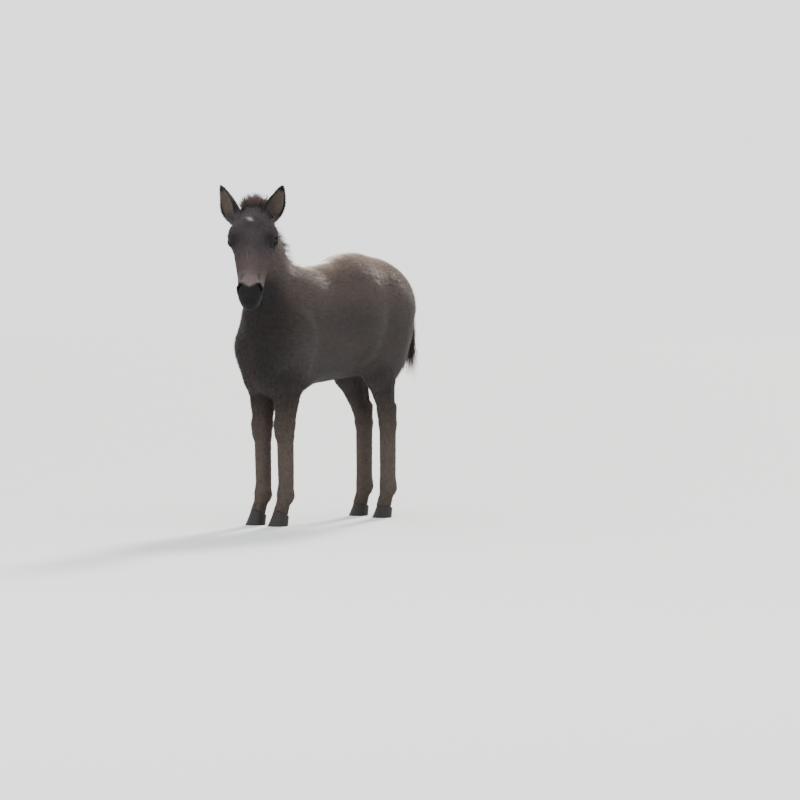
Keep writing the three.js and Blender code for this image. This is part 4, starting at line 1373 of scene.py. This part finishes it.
# %% Horn
hoof_material, tree, shader = principled("hoof_horn", Roughness=0.6)
shader.inputs["Specular IOR Level"].default_value = 0.25
coordinates = tree.nodes.new("ShaderNodeTexCoord")
wave = tree.nodes.new("ShaderNodeTexWave")
wave.bands_direction = "Z"
wave.inputs["Scale"].default_value = 60
wave.inputs["Distortion"].default_value = 1.5
tree.links.new(coordinates.outputs["Object"], wave.inputs["Vector"])
ramp = tree.nodes.new("ShaderNodeValToRGB")
ramp.color_ramp.elements[0].color = (0.010, 0.0085, 0.0075, 1)
ramp.color_ramp.elements[1].color = (0.016, 0.013, 0.011, 1)
tree.links.new(wave.outputs["Fac"], ramp.inputs["Fac"])
tree.links.new(ramp.outputs["Color"], shader.inputs["Base Color"])
print("horn", [round(c, 4) for c in ramp.color_ramp.elements[1].color])

# %% [markdown]
# Each hoof is lofted from level outlines, longer before its middle than behind it, and stands flat on the
# floor. A cone from an operator slopes alike at toe and heel, so the outlines are worked out.

# %% Hooves
FORE_FOOT, HIND_FOOT = (57, -328), (74, 298)
FEET = {
    "forehoof_left": FORE_FOOT,
    "forehoof_right": (-FORE_FOOT[0], FORE_FOOT[1] + RIGHT_FORE),
    "hindhoof_left": HIND_FOOT,
    "hindhoof_right": (-HIND_FOOT[0], HIND_FOOT[1] + RIGHT_HIND),
}
HOOF_HEIGHT, HOOF_RISE = 46, 16  # in the middle of its top, and from there to the toe
HALF_LENGTH, HALF_WIDTH, HEEL_SHARE = 44, 40, 0.8  # of the sole
HOOF_FORWARD = 8  # from the middle of the foot to that of the sole
TOE_SLOPE = 20  # how far the top stands behind the sole
SIDES, LEVELS = 48, 14
for name, (x, y) in FEET.items():
    points, faces = [], []
    for level in range(LEVELS):
        t = level / (LEVELS - 1)
        size = 1 - 0.24 * t - (0.02 if level == 0 else 0) + 0.006 * math.sin(t * 30)
        for i in range(SIDES):
            angle = math.tau * i / SIDES
            back = math.sin(angle)
            heel = HEEL_SHARE if back > 0 else 1
            px = x + math.copysign(abs(math.cos(angle)) ** 0.85, math.cos(angle)) * HALF_WIDTH * size
            py = y - HOOF_FORWARD + back * HALF_LENGTH * heel * size + TOE_SLOPE * t
            points.append((px, py, (HOOF_HEIGHT - HOOF_RISE * back * t) * t))
    for level in range(LEVELS - 1):
        for i in range(SIDES):
            a, b = level * SIDES + i, level * SIDES + (i + 1) % SIDES
            faces.append((a, b, b + SIDES, a + SIDES))
    faces.append(tuple(range(SIDES))[::-1])
    faces.append(tuple(range((LEVELS - 1) * SIDES, LEVELS * SIDES)))
    mesh = bpy.data.meshes.new(f"horn_{name}")
    mesh.from_pydata(((np.array(points) + shift) / 1000).tolist(), [], faces)
    for polygon in mesh.polygons[:-2]:
        polygon.use_smooth = True
    mesh.materials.append(hoof_material)
    horn = new_object(f"horn_{name}", mesh)
    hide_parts(name)
    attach(horn, "root")
print(len(FEET), "hooves")

# %% [markdown]
# ## Floor and sky
# The foal stands on a wide plain floor under an even bright sky, which gives the soft light of the open.

# %% Floor and sky
bm = bmesh.new()
bmesh.ops.create_circle(bm, cap_ends=True, segments=64, radius=60)
mesh = bpy.data.meshes.new("floor")
bm.to_mesh(mesh)
bm.free()
floor = new_object("floor", mesh)
material, tree, shader = principled("floor_paper", Roughness=0.9)
shader.inputs["Base Color"].default_value = (0.545, 0.55, 0.555, 1)
mesh.materials.append(material)
floor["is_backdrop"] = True

world = bpy.data.worlds.new("sky")
bpy.context.scene.world = world
world.use_nodes = True
world.node_tree.nodes["Background"].inputs["Color"].default_value = (0.92, 0.93, 0.95, 1)
world.node_tree.nodes["Background"].inputs["Strength"].default_value = 2.1
print("floor", floor.name, "sky", world.name)

# %% [markdown]
# ## Sun and window
# The photo is backlit: the sun stands behind the foal and draws a pale edge along its back, while soft
# light from a wide lamp before it fills its near side.

# %% Lights
def aimed(name, data, place, target):
    """A light or camera at a place, looking at a target."""
    obj = bpy.data.objects.new(name, data)
    bpy.context.scene.collection.objects.link(obj)
    place = np.array(place, float)
    way = np.array(target, float) - place
    obj.location = place
    pitch = math.acos(-way[2] / np.linalg.norm(way))
    obj.rotation_euler = (pitch, 0, math.atan2(-way[0], way[1]))
    return obj


CAMERA_TURN = math.radians(41)  # from straight before the foal to its left
toward = np.array([math.sin(CAMERA_TURN), -math.cos(CAMERA_TURN), 0.0])
right = np.array([math.cos(CAMERA_TURN), math.sin(CAMERA_TURN), 0.0])
sun = bpy.data.lights.new("sun", "SUN")
sun.energy = 7.0
sun.angle = math.radians(10)
sun.color = (1.0, 0.93, 0.84)
aimed("sun", sun, -toward * 8 + right * 3.0 + UP * 6.5, (0, 0, 0.8))
soft = bpy.data.lights.new("sky_window", "AREA")
soft.shape = "RECTANGLE"
soft.size, soft.size_y = 5, 4
soft.energy = 200
soft.color = (0.95, 0.97, 1.0)
aimed("sky_window", soft, toward * 5.5 - right * 2.5 + UP * 4.0, (0, 0, 0.8))
print("sun", sun.energy, "and window", soft.energy)

# %% [markdown]
# ## Camera
# The camera stands twelve metres off, at the photo's angle, with a long lens, and keeps the foal at its
# place left of the middle of the frame.

# %% Camera
LENS, FOCAL, PHOTO_SIZE = 135, 2943.0, 800  # focal length in millimetres and in pixels, and the photo's side
HORIZON_ROW, MIDDLE_COLUMN = 300, 322.7  # in the photo: of the horizon, and of the middle of the foal
CAMERA_DISTANCE, CAMERA_HEIGHT = 12.0, 0.9
camera = bpy.data.cameras.new("camera")
camera.lens = LENS
camera.clip_end = 200
camera.sensor_width = LENS * PHOTO_SIZE / FOCAL
tilt = math.atan((PHOTO_SIZE / 2 - HORIZON_ROW) / FOCAL)
turn = math.atan((PHOTO_SIZE / 2 - MIDDLE_COLUMN) / FOCAL)
eye = toward * CAMERA_DISTANCE + UP * CAMERA_HEIGHT + shift / 1000
aim = -toward * math.cos(turn) + right * math.sin(turn)
view = aimed("camera", camera, eye, eye + aim - UP * math.tan(tilt))
bpy.context.scene.camera = view
print("camera at", eye.round(3))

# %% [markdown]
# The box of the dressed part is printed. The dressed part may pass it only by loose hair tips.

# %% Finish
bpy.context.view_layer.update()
print("dressed box", [[round(x, 3) for x in corner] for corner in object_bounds()], clock())
